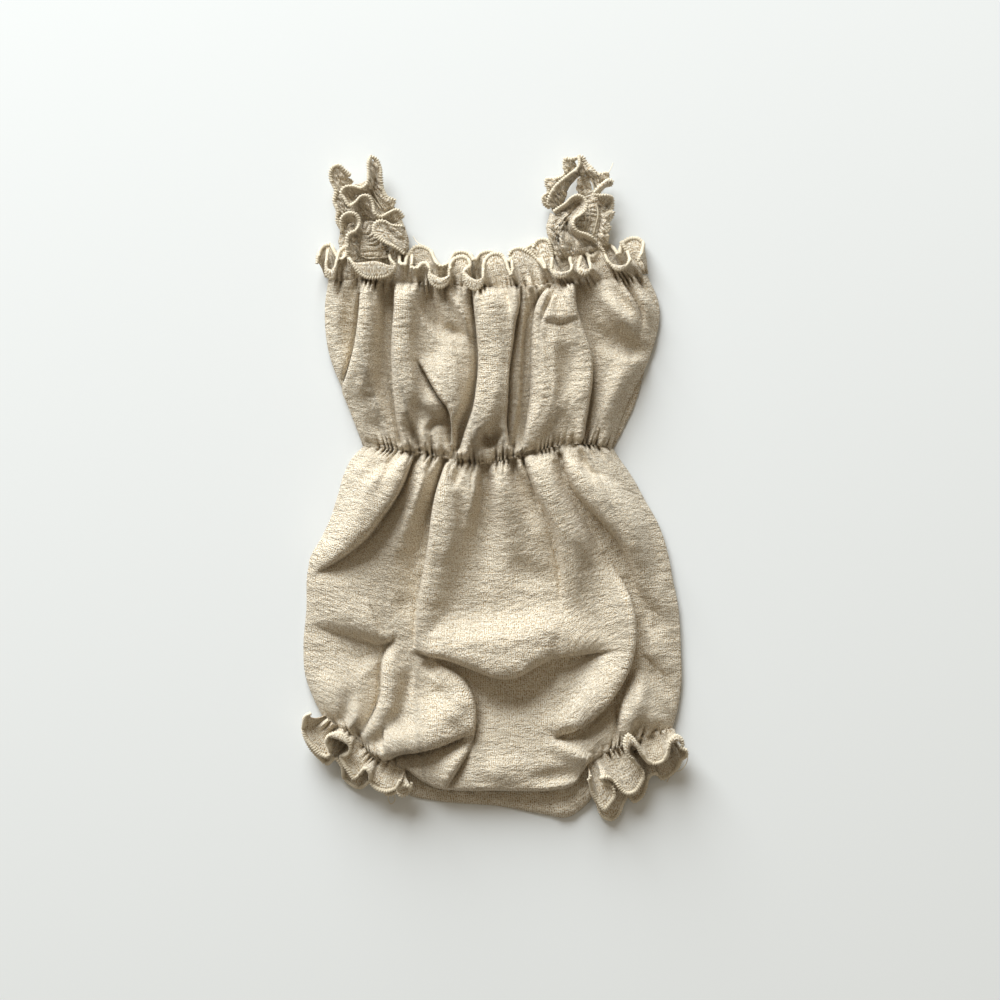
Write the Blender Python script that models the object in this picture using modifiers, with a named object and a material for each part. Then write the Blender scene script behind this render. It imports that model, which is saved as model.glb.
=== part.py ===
"""A baby's frilled summer romper, laid out flat on its back: a gathered bodice, an elastic waist, full
bloomers, ruffled shoulder straps, and ruffles at the neck and legs. Tables and sizes are in millimetres,
and cloth() turns them into metres. +X is to the right of the laid romper, +Y to its neck, +Z up."""

import bpy
import numpy as np

# ---- Driving sizes, in millimetres ----
CLOTH = 1.2
SEAM_GAP = 0.3
ROMPER_LENGTH_BELOW_WAIST = 205.0

# Heights above the surface that the romper lies on
BACK_TOP = CLOTH
FRONT_LOW = BACK_TOP + SEAM_GAP + CLOTH
HEM_Z = FRONT_LOW + 1.5
SEAM_Z = 5.8
ELASTIC_Z = 7.4

# Edges, bands and ruffles
SIDE_TUCK = 2.0
SIDE_ROUND = 12.0
HEM_ROUND = 9.0
BACK_INSET = 1.5
NECK_BAND = 4.5
WAIST_HALF = 3.2
GATHER_DEPTH = 0.7
NECK_GATHERS = 40
WAIST_GATHERS = 42
STRAP_GATHERS = 12
NECK_RISE = 5.0
LEG_RISE = 1.5
STRAP_RISE = 3.0

# Shares of a length
FLAT_AT_SEAM = 0.02
ROUND_TIPS = 0.2

# How finely each panel is divided
BODICE_COLUMNS_A_FOLD = 4
BODICE_ROWS = 11
BLOOMER_COLUMNS = 42
BLOOMER_ROWS = 26
BACK_COLUMNS = 22
BACK_ROWS = 7
FRILL_COLUMNS_A_TIP = 4
STRAP_COLUMNS = 42

# ---- Colours ----
LINEN = (0.46, 0.39, 0.29)
LINEN_BACK = (0.40, 0.34, 0.25)
LINEN_FRILL = (0.50, 0.43, 0.33)


# ---- Lines through a few known points ----
def through(at, known_at, known):
    """Cubic through the known values, its slope at each the mean slope of the values beside it."""
    known_at = np.asarray(known_at, float)
    known = np.asarray(known, float)
    slope = np.gradient(known, known_at)
    i = np.clip(np.searchsorted(known_at, at) - 1, 0, len(known_at) - 2)
    step = known_at[i + 1] - known_at[i]
    t = np.clip((at - known_at[i]) / step, 0, 1)
    a = known[i]
    b = known[i + 1]
    return a + (b - a) * t * t * (3 - 2 * t) + step * t * (1 - t) * ((1 - t) * slope[i] - t * slope[i + 1])


def along(points, share):
    """Points of a smooth plan line at these shares of its length."""
    points = np.asarray(points, float)
    length = np.concatenate([[0], np.cumsum(np.linalg.norm(np.diff(points, axis=0), axis=1))])
    columns = [through(share, length / length[-1], points[:, k]) for k in range(points.shape[1])]
    return np.stack(columns, axis=-1)


def ease(t):
    """Smooth step from 0 to 1."""
    t = np.clip(t, 0, 1)
    return t * t * (3 - 2 * t)


# ---- Seam lines of the romper, from its neck down: x, y ----
WAIST_LINE = (
    (-81.2, 25.7),
    (-55.8, 22.6),
    (-29.8, 18.3),
    (-5.6, 15.2),
    (18.6, 20.1),
    (39.7, 25.7),
    (58.9, 26.4),
    (73.2, 23.9),
)
NECK_LINE = (
    (-101.7, 129.3),
    (-77.5, 128),
    (-40.3, 125.5),
    (-3.1, 123.7),
    (34.1, 125.5),
    (71.3, 128.7),
    (91.1, 131.1),
)
LEFT_SIDE = (
    (-81.8, 20.8),
    (-89.3, 13.3),
    (-94.2, 3.4),
    (-98, -9.6),
    (-107.9, -34.4),
    (-116.6, -51.8),
    (-117.2, -69.8),
    (-118.7, -100.8),
    (-117.2, -119.3),
    (-112.2, -131.8),
    (-104.8, -145.4),
)
RIGHT_SIDE = (
    (71.9, 20.8),
    (75, 15.8),
    (83.7, 4),
    (91.8, -10.2),
    (100.4, -25.1),
    (109.1, -58),
    (114.7, -100.8),
    (115.1, -123.1),
    (112.8, -136.7),
    (109.1, -151.6),
)
FRONT_HEM = (
    (-104.8, -145.4),
    (-86.8, -153.4),
    (-72.5, -166.5),
    (-55.8, -173.9),
    (-44, -182.6),
    (-26.7, -186.9),
    (3.1, -187.6),
    (31, -187.6),
    (47.7, -184.4),
    (57.7, -172.7),
    (68.8, -163.4),
    (81.8, -158.4),
    (96.1, -153.4),
    (109.1, -151.6),
)
BACK_HEM = (
    (-104.8, -145.4),
    (-86.8, -159.7),
    (-72.5, -173.9),
    (-55.2, -190),
    (-34.7, -194.4),
    (3.1, -197.5),
    (29.8, -202.4),
    (45.3, -204.3),
    (58.3, -195.6),
    (68.8, -176.4),
    (81.8, -167.1),
    (96.1, -159.7),
    (109.1, -151.6),
)


def waist_y(x):
    line = np.array(WAIST_LINE)
    return through(x, line[:, 0], line[:, 1])


def neck_y(x):
    line = np.array(NECK_LINE)
    return through(x, line[:, 0], line[:, 1])


# ---- Meshes ----
def cloth(name, rows, colour, thickness=CLOTH):
    """Closed thin panel whose outer face runs through these rows of points, as a grid with each point moved."""
    rows = np.asarray(rows, float)
    down, across = rows.shape[:2]
    bpy.ops.mesh.primitive_grid_add(x_subdivisions=across - 1, y_subdivisions=down - 1, size=1)
    piece = bpy.context.object
    piece.name = name
    piece.data.name = name
    piece.data.vertices.foreach_set("co", (rows[::-1] * 0.001).ravel())
    piece.data.update()
    wall = piece.modifiers.new("cloth_wall", "SOLIDIFY")
    wall.thickness = thickness * 0.001
    wall.offset = -1
    wall.use_even_offset = False
    piece.data.polygons.foreach_set("use_smooth", np.ones(len(piece.data.polygons), bool))
    look = bpy.data.materials.new(name)
    look.use_nodes = True
    shader = look.node_tree.nodes["Principled BSDF"]
    shader.inputs["Base Color"].default_value = (*colour, 1)
    shader.inputs["Roughness"].default_value = 0.92
    shader.inputs["Metallic"].default_value = 0.0
    piece.data.materials.append(look)
    for owner in list(piece.users_collection):
        owner.objects.unlink(piece)
    romper.objects.link(piece)
    return piece


# ---- Bodice front: folds that run from neck to waist, each from its left crease to the next one's ----
# name, x of its left crease at five levels, height of that crease and of the crest at the three levels between the
# seams, then where the crest stands across the fold (0 left, 1 right) and how softly it falls to the left and right
# (0 steep, 1 soft). At both seams all folds die out.
LEVELS = (0.0, 0.15, 0.45, 0.75, 1.0)
BODICE_FOLDS = (
    ("side_left", (-102.9, -105.1, -102.6, -90.5, -81.2), (6.0, 6.0, 5.0), (10.5, 11.5, 6.5), 0.50, 0.0, 0.6),
    ("broad_left", (-84.3, -84.7, -89.3, -88.7, -78.1), (4.6, 4.2, 4.0), (12.5, 14.5, 13), 0.28, 0.0, 0.9),
    ("second", (-63.2, -63.2, -63.2, -62.3, -59.5), (4.2, 4.4, 4.2), (12, 14, 14), 0.40, 0.0, 0.7),
    ("belly_left", (-45.9, -45.9, -45.9, -29.1, -27.6), (7.5, 9.0, 4.2), (11.5, 15, 13), 0.62, 0.9, 0.0),
    ("wedge", (-15.5, -13.3, -10.5, -13.6, -21.7), (4.0, 3.6, 3.4), (4.0, 3.6, 3.4), 0.50, 1.0, 1.0),
    ("middle", (-14.3, -11.8, -9, -12.4, -15.5), (4.0, 3.6, 3.4), (13, 15.5, 14), 0.50, 0.0, 0.1),
    ("deep_band", (16.7, 15.2, 9.9, 7.8, 9.3), (4.4, 4.0, 4.0), (5.4, 4.6, 4.8), 0.50, 1.0, 1.0),
    ("strip", (34.7, 23.2, 21.1, 18.3, 14.9), (4.6, 4.2, 4.0), (11, 12.5, 11), 0.60, 0.0, 0.6),
    ("third", (41.5, 31, 26.4, 24.8, 23.6), (8.0, 9.5, 7.5), (13.5, 15, 13), 0.58, 0.5, 0.0),
    ("hollow", (50.8, 51.8, 59.8, 58, 56.4), (3.8, 4.0, 4.2), (4.6, 7.0, 9.0), 0.70, 1.0, 1.0),
    ("fourth", (67, 68.8, 70.1, 63.9, 60.8), (4.6, 7.2, 8.2), (12.5, 11.5, 10), 0.50, 0.4, 0.5),
    ("side_right", (77.5, 86.2, 91.1, 77.5, 66.3), (8.0, 9.8, 8.2), (12, 11.5, 9), 0.45, 0.6, 0.0),
)
BACK_BODICE_LEFT = (-101.1, -102.9, -100.4, -91.1, -81.8)
BACK_BODICE_RIGHT = (93, 99.2, 94.9, 86.2, 73.2)
BODICE_RIGHT = ((94.2, 101.1, 96.1, 81.2, 71.9), (6.0, 6.0, 5.0))


def levels(values, v):
    return through(v, LEVELS, values)


def fold_z(values, v):
    """Height at v of a line that starts and ends flat at the seams."""
    v = np.clip((v - FLAT_AT_SEAM) / (1 - 2 * FLAT_AT_SEAM), 0, 1)
    return levels((SEAM_Z, *values, SEAM_Z), v)


def bodice(across, v):
    """Points of the bodice front: across counts its folds from the left, v runs from neck seam to waist seam."""
    k = np.clip(across.astype(int), 0, len(BODICE_FOLDS) - 1)
    t = across - k
    x = np.zeros_like(v)
    z = np.zeros_like(v)
    for i, (_, left, low, crest, stands, soft_left, soft_right) in enumerate(BODICE_FOLDS):
        right, low_right = BODICE_RIGHT if i + 1 == len(BODICE_FOLDS) else BODICE_FOLDS[i + 1][1:3]
        here = k == i
        rising = t < 0.5
        soft = np.where(rising, soft_left, soft_right)
        turn = np.pi * np.where(rising, t, 1 - t)
        run = (1 - soft) * (1 - np.cos(turn)) + soft * turn * 2 / np.pi
        rise = (1 - soft) * np.sin(turn) + soft * np.sin(turn) ** 2
        share = np.where(rising, stands * run, 1 - (1 - stands) * run)
        x_left = levels(left, v)
        valley = np.where(rising, fold_z(low, v), fold_z(low_right, v))
        x = np.where(here, x_left + share * (levels(right, v) - x_left), x)
        z = np.where(here, valley + rise * np.maximum(fold_z(crest, v) - valley, 0), z)
    top = neck_y(x)
    bottom = waist_y(x) + WAIST_HALF
    return np.stack([x, top + v * (bottom - top), z], axis=-1)


def rows_between_seams(count, ends=(True, True)):
    """Shares from 0 to 1 with a narrow flat row beside the seams."""
    inner = np.linspace(FLAT_AT_SEAM * ends[0], 1 - FLAT_AT_SEAM * ends[1], count + 1)
    return np.concatenate([[0.0] * ends[0], inner, [1.0] * ends[1]])


def tucked_sides(rows):
    """The same panel with one more column at each side, turned in under its rounded edge."""
    left = rows[:, :1] + (SIDE_TUCK, 0, 0)
    right = rows[:, -1:] - (SIDE_TUCK, 0, 0)
    left[..., 2] = FRONT_LOW
    right[..., 2] = FRONT_LOW
    return np.concatenate([left, rows, right], axis=1)


# ---- Bloomer front: a puffed panel, with folds laid on it ----
# name, how softly it falls to the left and to the right (0 steep, 1 soft), then rows along its crest: x, y, height,
# and how far it reaches to the left and to the right, looking along it.
BLOOMER_FOLDS = (
    ("side_left", 0.8, 0.3, (
        (-109.7, -48.7, 0, 10, 5), (-97.3, -35.6, 7, 14, 9), (-88.7, -25.1, 9, 15, 9),
        (-78.7, -10.8, 9, 15, 9), (-70.1, 2.2, 7, 14, 9), (-63.9, 15.8, 2, 10, 6))),
    ("side_left_valley", 1.0, 1.0, (
        (-96.1, -54.2, 0, 6, 10), (-78.7, -31.3, -2.5, 6, 10), (-66.3, -16.4, -3, 6, 9),
        (-53.3, -1.6, -2, 5, 7),
        (-47.7, 13.3, 0, 4, 4))),
    ("upper_left", 0.6, 0.6, (
        (-45.9, -20.1, 0, 6, 6), (-44.6, -1.6, 4, 7, 6), (-42.8, 14.6, 2, 6, 5))),
    ("long_crease", 0.3, 0.9, (
        (-44, -103.8, 3, 5, 30), (-41.5, -85.2, 5, 6, 30), (-38.4, -63.5, 6, 7, 28),
        (-34.7, -38.8, 7, 7, 26), (-31, -13.9, 7, 7, 20), (-26, 4.7, 6, 6, 14),
        (-22.9, 14.6, 2, 5, 9))),
    ("middle_valley", 1.0, 1.0, (
        (-7.4, -38.8, 0, 5, 6), (-6.2, -17.1, -4, 4, 5), (-5.6, 1.6, -5, 4, 4),
        (-5.6, 12.1, -2, 4, 4))),
    ("middle", 0.7, 0.7, (
        (4.3, -32.5, 0, 7, 8), (3.7, -10.8, 3, 7, 8), (3.7, 13.3, 3, 6, 6))),
    ("right_crease", 0.4, 0.8, (
        (48.4, -82.2, 0, 8, 20), (49.6, -57.4, 4, 8, 18), (45.3, -35.6, 6, 8, 16),
        (39.1, -18.9, 6.5, 8, 14), (31.6, -1.6, 6, 7, 12), (24.8, 14.6, 2, 6, 8))),
    ("right_valley", 1.0, 1.0, (
        (87.4, -94.5, 0, 6, 5), (84.3, -70.4, -3, 8, 5), (77.5, -42.5, -3.5, 9, 6),
        (65.1, -23.9, -4, 8, 6), (50.8, -5.9, -4, 6, 5), (44, 12.1, -1.5, 5, 4))),
    ("side_right", 0.9, 0.8, (
        (101.7, -153.4, 2, 12, 12), (103.5, -128.7, 6, 16, 13), (102.9, -103.8, 6, 14, 14),
        (100.4, -76, 5, 14, 14), (96.1, -51.1, 6, 12, 14), (86.2, -28.8, 8, 11, 15),
        (72.5, -10.2, 8, 11, 15), (60.1, 5.9, 6, 10, 12),
        (52.7, 15.8, 2, 8, 10))),
    ("belly", 1.0, 0.2, (
        (-46.5, -95.8, 3, 40, 6), (-34.1, -99.5, 8, 55, 7), (-15.5, -104.5, 12, 62, 8),
        (3.1, -108.2, 13, 66, 8), (18.6, -102, 11, 64, 8), (32.9, -93.3, 9, 60, 8),
        (55.8, -92.1, 5, 50, 10), (78.7, -88.3, 1, 40, 12))),
    ("right_lobe", 0.9, 0.3, (
        (32.9, -145.4, 0, 10, 6), (48.4, -139.2, 6, 22, 8), (60.1, -130.5, 9, 30, 9),
        (68.8, -118.1, 11, 34, 9), (75.6, -103.8, 11, 34, 9), (76.9, -85.2, 9, 30, 8),
        (75, -63.5, 5, 22, 8), (68.8, -45, 0, 14, 8))),
    ("left_arch", 0.9, 0.9, (
        (-113.5, -72.2, 3, 12, 12), (-88.7, -79.7, 5, 12, 12), (-65.1, -90.8, 5, 10, 14),
        (-57, -108.2, 4, 8, 14), (-62, -125.5, 4, 8, 12), (-68.2, -141.1, 3, 8, 10),
        (-76.3, -151.6, 1, 8, 8))),
    ("left_bulge", 0.9, 0.3, (
        (-72.5, -155.3, 2, 10, 6), (-56.4, -151.6, 6, 16, 7), (-36.6, -142.9, 9, 24, 8),
        (-22.9, -137.9, 9, 26, 8), (-19.2, -126.8, 7, 24, 8), (-27.9, -115.6, 3, 16, 7),
        (-39.1, -109.4, 0, 10, 6))),
    ("lower_left", 0.8, 0.4, (
        (-39.1, -177.6, 3, 8, 5), (-29.1, -171.4, 5, 10, 6), (-21.7, -161.5, 4, 10, 6),
        (-18, -150.3, 0, 8, 6))),
)
BLOOMER_PUFF = ((0.0, SEAM_Z), (0.1, 7.5), (0.35, 8.5), (0.7, 9.0), (0.88, 8.5), (1.0, 7.5))
FOLD_POWER = 4


def fold_height(x, y, rows, soft_left, soft_right):
    """Height of one fold at each plan point, from the nearest point of its crest line."""
    rows = np.array(rows, float)
    length = np.concatenate([[0], np.cumsum(np.linalg.norm(np.diff(rows[:, :2], axis=0), axis=1))])
    share = np.linspace(0, length[-1], 6 * len(rows))
    crest = np.stack([through(share, length, rows[:, k]) for k in range(5)], axis=-1)
    nearest = np.full(x.shape, np.inf)
    height = np.zeros(x.shape)
    for a, b in zip(crest[:-1], crest[1:]):
        run = b[:2] - a[:2]
        t = np.clip(((x - a[0]) * run[0] + (y - a[1]) * run[1]) / (run @ run), 0, 1)
        off_x = x - a[0] - t * run[0]
        off_y = y - a[1] - t * run[1]
        off = np.hypot(off_x, off_y)
        on_left = run[0] * off_y - run[1] * off_x > 0
        reach = np.where(on_left, a[3] + t * (b[3] - a[3]), a[4] + t * (b[4] - a[4]))
        soft = np.where(on_left, soft_left, soft_right)
        q = np.clip(off / reach, 0, 1)
        fall = (1 - soft) * np.sqrt(1 - q * q) + soft * (1 + np.cos(np.pi * q)) / 2
        closer = off < nearest
        height = np.where(closer, (a[2] + t * (b[2] - a[2])) * fall, height)
        nearest = np.where(closer, off, nearest)
    return height


def coons(top, bottom, left, right, u, v):
    """Plan points of a panel from its four edge lines, each with its own points at u or v."""
    corner = (
        (1 - u) * (1 - v) * top[:, :1]
        + u * (1 - v) * top[:, -1:]
        + (1 - u) * v * bottom[:, :1]
        + u * v * bottom[:, -1:]
    )
    return (1 - v) * top + v * bottom + (1 - u) * left + u * right - corner


def bloomer_plan(hem, below_waist, inset, u, v):
    """Plan points of the bloomer front or back, with its side seams moved in by the inset."""
    x_top = WAIST_LINE[0][0] + u * (WAIST_LINE[-1][0] - WAIST_LINE[0][0])
    top = np.stack([x_top, waist_y(x_top) - below_waist], axis=-1)[None]
    bottom = along(hem, u)[None]
    left = along(LEFT_SIDE, v)[:, None]
    right = along(RIGHT_SIDE, v)[:, None]
    left = left + (1 - v[:, None, None]) * (top[:, :1] - left[:1])
    right = right + (1 - v[:, None, None]) * (top[:, -1:] - right[:1])
    plan = coons(top, bottom, left, right, u[None, :, None], v[:, None, None])
    plan[..., 0] += inset * (1 - 2 * u)
    return plan


def bloomer(u, v):
    """Points of the bloomer front: u runs from left side seam to right, v from the waist to the lower edge."""
    plan = bloomer_plan(FRONT_HEM, WAIST_HALF, 0, u, v)
    x = plan[..., 0]
    y = plan[..., 1]
    puff = np.array(BLOOMER_PUFF)
    z = through(np.maximum(v - FLAT_AT_SEAM, 0), puff[:, 0], puff[:, 1])[:, None] + 0 * x
    raised = np.zeros(x.shape)
    sunk = np.zeros(x.shape)
    for _, soft_left, soft_right, rows in BLOOMER_FOLDS:
        height = fold_height(x, y, rows, soft_left, soft_right)
        raised += np.maximum(height, 0) ** FOLD_POWER
        sunk += np.maximum(-height, 0)
    fade = ease((v - FLAT_AT_SEAM) / 0.06)[:, None]
    z += (raised ** (1 / FOLD_POWER) - sunk) * fade
    to_side = np.minimum(u, 1 - u)[None, :] * (x[:, -1:] - x[:, :1])
    to_hem = ((1 - v) * ROMPER_LENGTH_BELOW_WAIST)[:, None] + 0 * x
    for off, round_over in ((to_side, SIDE_ROUND), (to_hem, HEM_ROUND)):
        q = 1 - np.clip(off / round_over, 0, 1)
        z = HEM_Z + (z - HEM_Z) * np.sqrt(1 - q * q)
    z = np.maximum(z, FRONT_LOW + 0.4)
    return np.stack([x, y, z], axis=-1)


# ---- Ruffles: a strip that leaves a base line and ends in a meandering edge ----
def ruffle(base, tips, rise, columns, rows):
    """Rows of points from the base line to an edge that swings from tip to tip, standing up by rise between."""
    tips = np.array(tips, float)
    at = np.linspace(0, len(tips) - 1, columns + 1)
    i = np.minimum(at.astype(int), len(tips) - 2)
    t = (at - i)[:, None]
    foot = base(at / (len(tips) - 1))
    way = np.gradient(foot, axis=0)
    way /= np.linalg.norm(way, axis=1)[:, None]
    swing = (1 - np.cos(np.pi * t)) / 2
    step = tips[i + 1] - tips[i]
    onward = np.sum(step * way, axis=1)[:, None] * way
    edge = tips[i] + step * swing + onward * (t - swing - ROUND_TIPS * np.sin(2 * np.pi * t))
    knee = foot + rise
    r = np.linspace(0, 1, rows + 1)[:, None, None]
    return (1 - r) ** 2 * foot + 2 * r * (1 - r) * knee + r * r * edge


# Edge tips, left to right: x, y, z. They swing up over the neck and down over its elastic in turn.
NECK_TIPS = (
    (-104.8, 139.8, 5), (-102.3, 130.5, 10), (-93.6, 147.9, 7), (-83.7, 130.5, 13), (-67, 129.9, 13),
    (-60.8, 147.2, 7), (-57.7, 137.3, 13), (-52.1, 147.2, 7), (-49.6, 136.1, 13), (-42.2, 141.1, 8),
    (-34.7, 124.3, 12), (-21.1, 143.5, 8), (-12.4, 123.1, 12), (-0.6, 146, 8), (9.9, 130.5, 13),
    (16.1, 148.5, 7), (28.5, 134.8, 13), (29.8, 151.6, 7), (39.1, 130.5, 13), (47.7, 132.4, 13),
    (58.3, 131.1, 13), (67, 147.2, 7), (76.3, 134.8, 13), (81.2, 149.7, 7),
    (93.6, 139.8, 5),
)
NECK_BACK_TIPS = (
    (-110.4, 139.8, 2.2), (-104.2, 151.6, 1.3), (-93, 147.2, 2.4), (-76.3, 149.7, 1.3),
    (-58.9, 147.2, 2.4), (-43.4, 147.9, 1.3), (-29.1, 143.5, 2.4), (-15.5, 146.6, 1.3),
    (0.6, 143.5, 2.4), (15.5, 147.2, 1.3), (31, 144.2, 2.4), (44, 147.9, 1.3), (58.9, 144.8, 2.4),
    (72.5, 149.7, 1.3), (86.2, 154.1, 2.2), (91.8, 146, 1.3),
)
# The leg ruffles, from the side seam to the crotch, in front and behind.
LEFT_LEG_TIPS = (
    (-119, -142.3, 4.5), (-111, -163.4, 6), (-97.3, -155.3, 14), (-88.7, -179.5, 6),
    (-77.5, -175.2, 11), (-66.3, -189.4, 6), (-58.9, -183.8, 11), (-52.1, -186.9, 6),
)
LEFT_LEG_BACK_TIPS = (
    (-117.2, -150.3, 1.3), (-114.7, -161.5, 2.6), (-101.7, -171.4, 1.3), (-88.7, -182.6, 2.6),
    (-75, -190, 1.3), (-63.9, -195.6, 2.6),
    (-57, -196.8, 1.4),
)
RIGHT_LEG_TIPS = (
    (60.8, -185.1, 6), (67.6, -200.6, 6), (74.4, -186.3, 11), (84.9, -189.4, 6), (86.2, -160.9, 15),
    (99.2, -172.7, 7), (109.1, -159, 12), (116.6, -155.3, 6),
)
RIGHT_LEG_BACK_TIPS = (
    (61.4, -201.2, 1.4), (69.4, -206.2, 2.6), (78.7, -195.6, 1.3), (89.9, -191.3, 2.6),
    (99.2, -181.3, 1.3), (109.7, -178.9, 2.6),
    (119.7, -164, 1.3),
)
# x, y, z of the middle of each strap's shirred band, its half width, and the way its right edge faces, in degrees.
LEFT_STRAP = (
    (-73.8, 131.1, 4.7, 5, 0), (-73.8, 137.3, 4.8, 5, 0), (-73.8, 142.9, 8.5, 5.5, 0),
    (-73.8, 148.5, 11.5, 6.5, 0),
    (-75.6, 164.6, 12.5, 7, 0),
    (-80, 184.4, 12, 6.5, 0), (-82.5, 195.6, 10, 6, 0), (-82.5, 198.1, 5.5, 6, 0),
    (-81.2, 191.9, 2.4, 6, 0), (-77.5, 175.2, 1.8, 6.5, 0), (-73.8, 153.4, 2.6, 6, 0),
    (-73.8, 139.8, 2.6, 5.5, 0), (-73.8, 131.1, 1.8, 5, 0),
)
LEFT_STRAP_LEFT = (
    (-79.4, 131.1, 4.7), (-80, 140.4, 5.6), (-81.2, 146, 12.5), (-92.4, 151, 14), (-83.7, 163.4, 18),
    (-96.1, 173.3, 11), (-95.5, 181.3, 10), (-84.9, 186.3, 18), (-100.4, 195.6, 11), (-98.6, 201.2, 5),
    (-94.2, 193.8, 2.0), (-98.6, 180.1, 2.6), (-91.8, 169.6, 1.4), (-93.6, 158.4, 2.8),
    (-82.5, 139.8, 2.6), (-79.4, 131.1, 1.8),
)
LEFT_STRAP_RIGHT = (
    (-68.2, 131.1, 4.7), (-68.2, 140.4, 5.6), (-66.3, 146, 12.5), (-54.6, 151, 14), (-70.7, 158.4, 18),
    (-56.4, 168.3, 11), (-72.5, 176.4, 18), (-63.2, 182, 11), (-73.8, 191.9, 15), (-75, 204.3, 5),
    (-68.2, 189.4, 2.0), (-60.1, 178.2, 2.6), (-62, 168.3, 1.4), (-56.4, 158.4, 2.8),
    (-65.1, 139.8, 2.6), (-68.2, 131.1, 1.8),
)
RIGHT_STRAP = (
    (50.2, 131.1, 4.7, 5, 0), (50.2, 137.3, 4.8, 5, 0), (51.5, 142.9, 8.5, 5.5, 0),
    (52.7, 148.5, 11.5, 6.5, 0),
    (57.7, 167.1, 12.5, 5.5, 5),
    (62, 182, 12, 4, 20), (59.5, 193.1, 11, 3.5, 60), (51.5, 198.7, 8, 3.5, 90),
    (42.8, 194.4, 5, 3.5, 130), (38.4, 183.2, 3, 4, 170), (40.9, 169.6, 2.4, 5, 178),
    (47.1, 153.4, 4.0, 5.5, 180), (50.8, 139.8, 3.9, 5.5, 180),
    (51.5, 131.1, 3.1, 5, 180),
)
RIGHT_STRAP_LEFT = (
    (44.6, 131.1, 4.7), (44.6, 140.4, 5.6), (44, 146, 12.5), (34.7, 151.6, 14), (49, 160.9, 18),
    (35.3, 169.6, 13), (53.9, 176.4, 17), (55.8, 184.4, 12), (54.6, 190, 10), (50.8, 191.9, 7),
    (47.1, 190, 5), (44.6, 183.2, 3), (47.1, 174.5, 2.4), (56.4, 160.9, 4.6), (57.7, 142.3, 3.9),
    (57, 131.1, 3.1),
)
RIGHT_STRAP_RIGHT = (
    (55.8, 131.1, 4.7), (55.8, 140.4, 5.6), (58.9, 146, 12.5), (70.1, 151.6, 14), (65.1, 160.3, 17),
    (73.2, 169.6, 11), (68.2, 178.2, 16), (72.5, 188.8, 10), (60.1, 203.1, 9), (51.5, 206.2, 6),
    (41.5, 201.2, 4), (32.2, 189.4, 3), (31, 178.2, 1.6), (34.7, 162.1, 4.2), (44, 139.8, 3.9),
    (45.9, 131.1, 3.1),
)


def hem_line(hem, z, first, last):
    """Line just outside the hem from one of its points to another, as a function of the share of its length."""
    length = np.cumsum(np.linalg.norm(np.diff(np.array(hem), axis=0, prepend=[hem[0]]), axis=1))

    def line(share):
        plan = along(hem, (length[first] + share * (length[last] - length[first])) / length[-1])
        way = np.gradient(plan, axis=0)
        way /= np.linalg.norm(way, axis=1)[:, None]
        outside = plan + 1.2 * SEAM_GAP * np.stack([way[:, 1], -way[:, 0]], axis=-1)
        return np.stack([outside[:, 0], outside[:, 1], np.full(len(share), z)], axis=-1)

    return line


def strap(middle, left_tips, right_tips, rising):
    """Points of a strap, from its left ruffled edge across its shirred band to its right ruffled edge."""
    t = np.linspace(0, 1, STRAP_COLUMNS + 1)
    line = along(np.array(middle, float), t)
    turn = np.radians(line[:, 4])
    side = np.stack([np.cos(turn), np.sin(turn), 0 * turn], axis=-1) * line[:, 3:4]
    front = ease((rising - t) / 0.1) * ease(t / 0.12)
    rise = STRAP_RISE * front[:, None] * (0, 0, 1)
    shirring = GATHER_DEPTH * np.sin(2 * np.pi * STRAP_GATHERS * t) * ease(t / 0.15) * ease((1 - t) / 0.15)
    left = ruffle(lambda share: line[:, :3] - side, left_tips, rise, STRAP_COLUMNS, 2)
    right = ruffle(lambda share: line[:, :3] + side, right_tips, rise, STRAP_COLUMNS, 2)
    band = line[:, :3] + shirring[:, None] * (0, 0, 1)
    return np.concatenate([left[::-1], band[None], right])


def gathers(count, columns):
    """Heights of a gathered band along its elastic: small even waves that die out at its ends."""
    share = np.linspace(0, 1, columns + 1)
    ends = ease(np.minimum(share, 1 - share) / 0.03)
    return GATHER_DEPTH * np.cos(2 * np.pi * count * share) * ends


def elastic_z(share):
    """Height of the neck elastic, rounded down at both ends."""
    q = 1 - np.clip(np.minimum(share, 1 - share) / 0.04, 0, 1)
    return SEAM_Z + (ELASTIC_Z - SEAM_Z) * np.sqrt(1 - q * q)


def clear_scene():
    for thing in list(bpy.data.objects):
        bpy.data.objects.remove(thing)


def flat_panel(name, plan, colour):
    """A plain back panel that lies flat on the floor."""
    cloth(name, np.concatenate([plan, np.full(plan.shape[:2] + (1,), BACK_TOP)], axis=-1), colour)


clear_scene()
romper = bpy.data.collections.new("baby_romper")
bpy.context.scene.collection.children.link(romper)

# Back: bodice and bloomers, flat on the floor
share = np.linspace(0, 1, BACK_ROWS + 1)
u = np.linspace(0, 1, BACK_COLUMNS + 1)
left_edge = levels(BACK_BODICE_LEFT, share)[:, None]
right_edge = levels(BACK_BODICE_RIGHT, share)[:, None]
x = left_edge + u * (right_edge - left_edge)
y = neck_y(x) + share[:, None] * (waist_y(x) + SEAM_GAP / 2 - neck_y(x))
flat_panel("back_bodice", np.stack([x, y], axis=-1), LINEN_BACK)
v = np.linspace(0, 1, BACK_ROWS + 4)
flat_panel("back_bloomer", bloomer_plan(BACK_HEM, SEAM_GAP / 2, BACK_INSET, u, v), LINEN_BACK)

# Front bodice
across = np.linspace(0, len(BODICE_FOLDS), BODICE_COLUMNS_A_FOLD * len(BODICE_FOLDS) + 1)
grid_across, grid_down = np.meshgrid(across, rows_between_seams(BODICE_ROWS))
cloth("front_bodice", tucked_sides(bodice(grid_across, grid_down)), LINEN)

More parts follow.
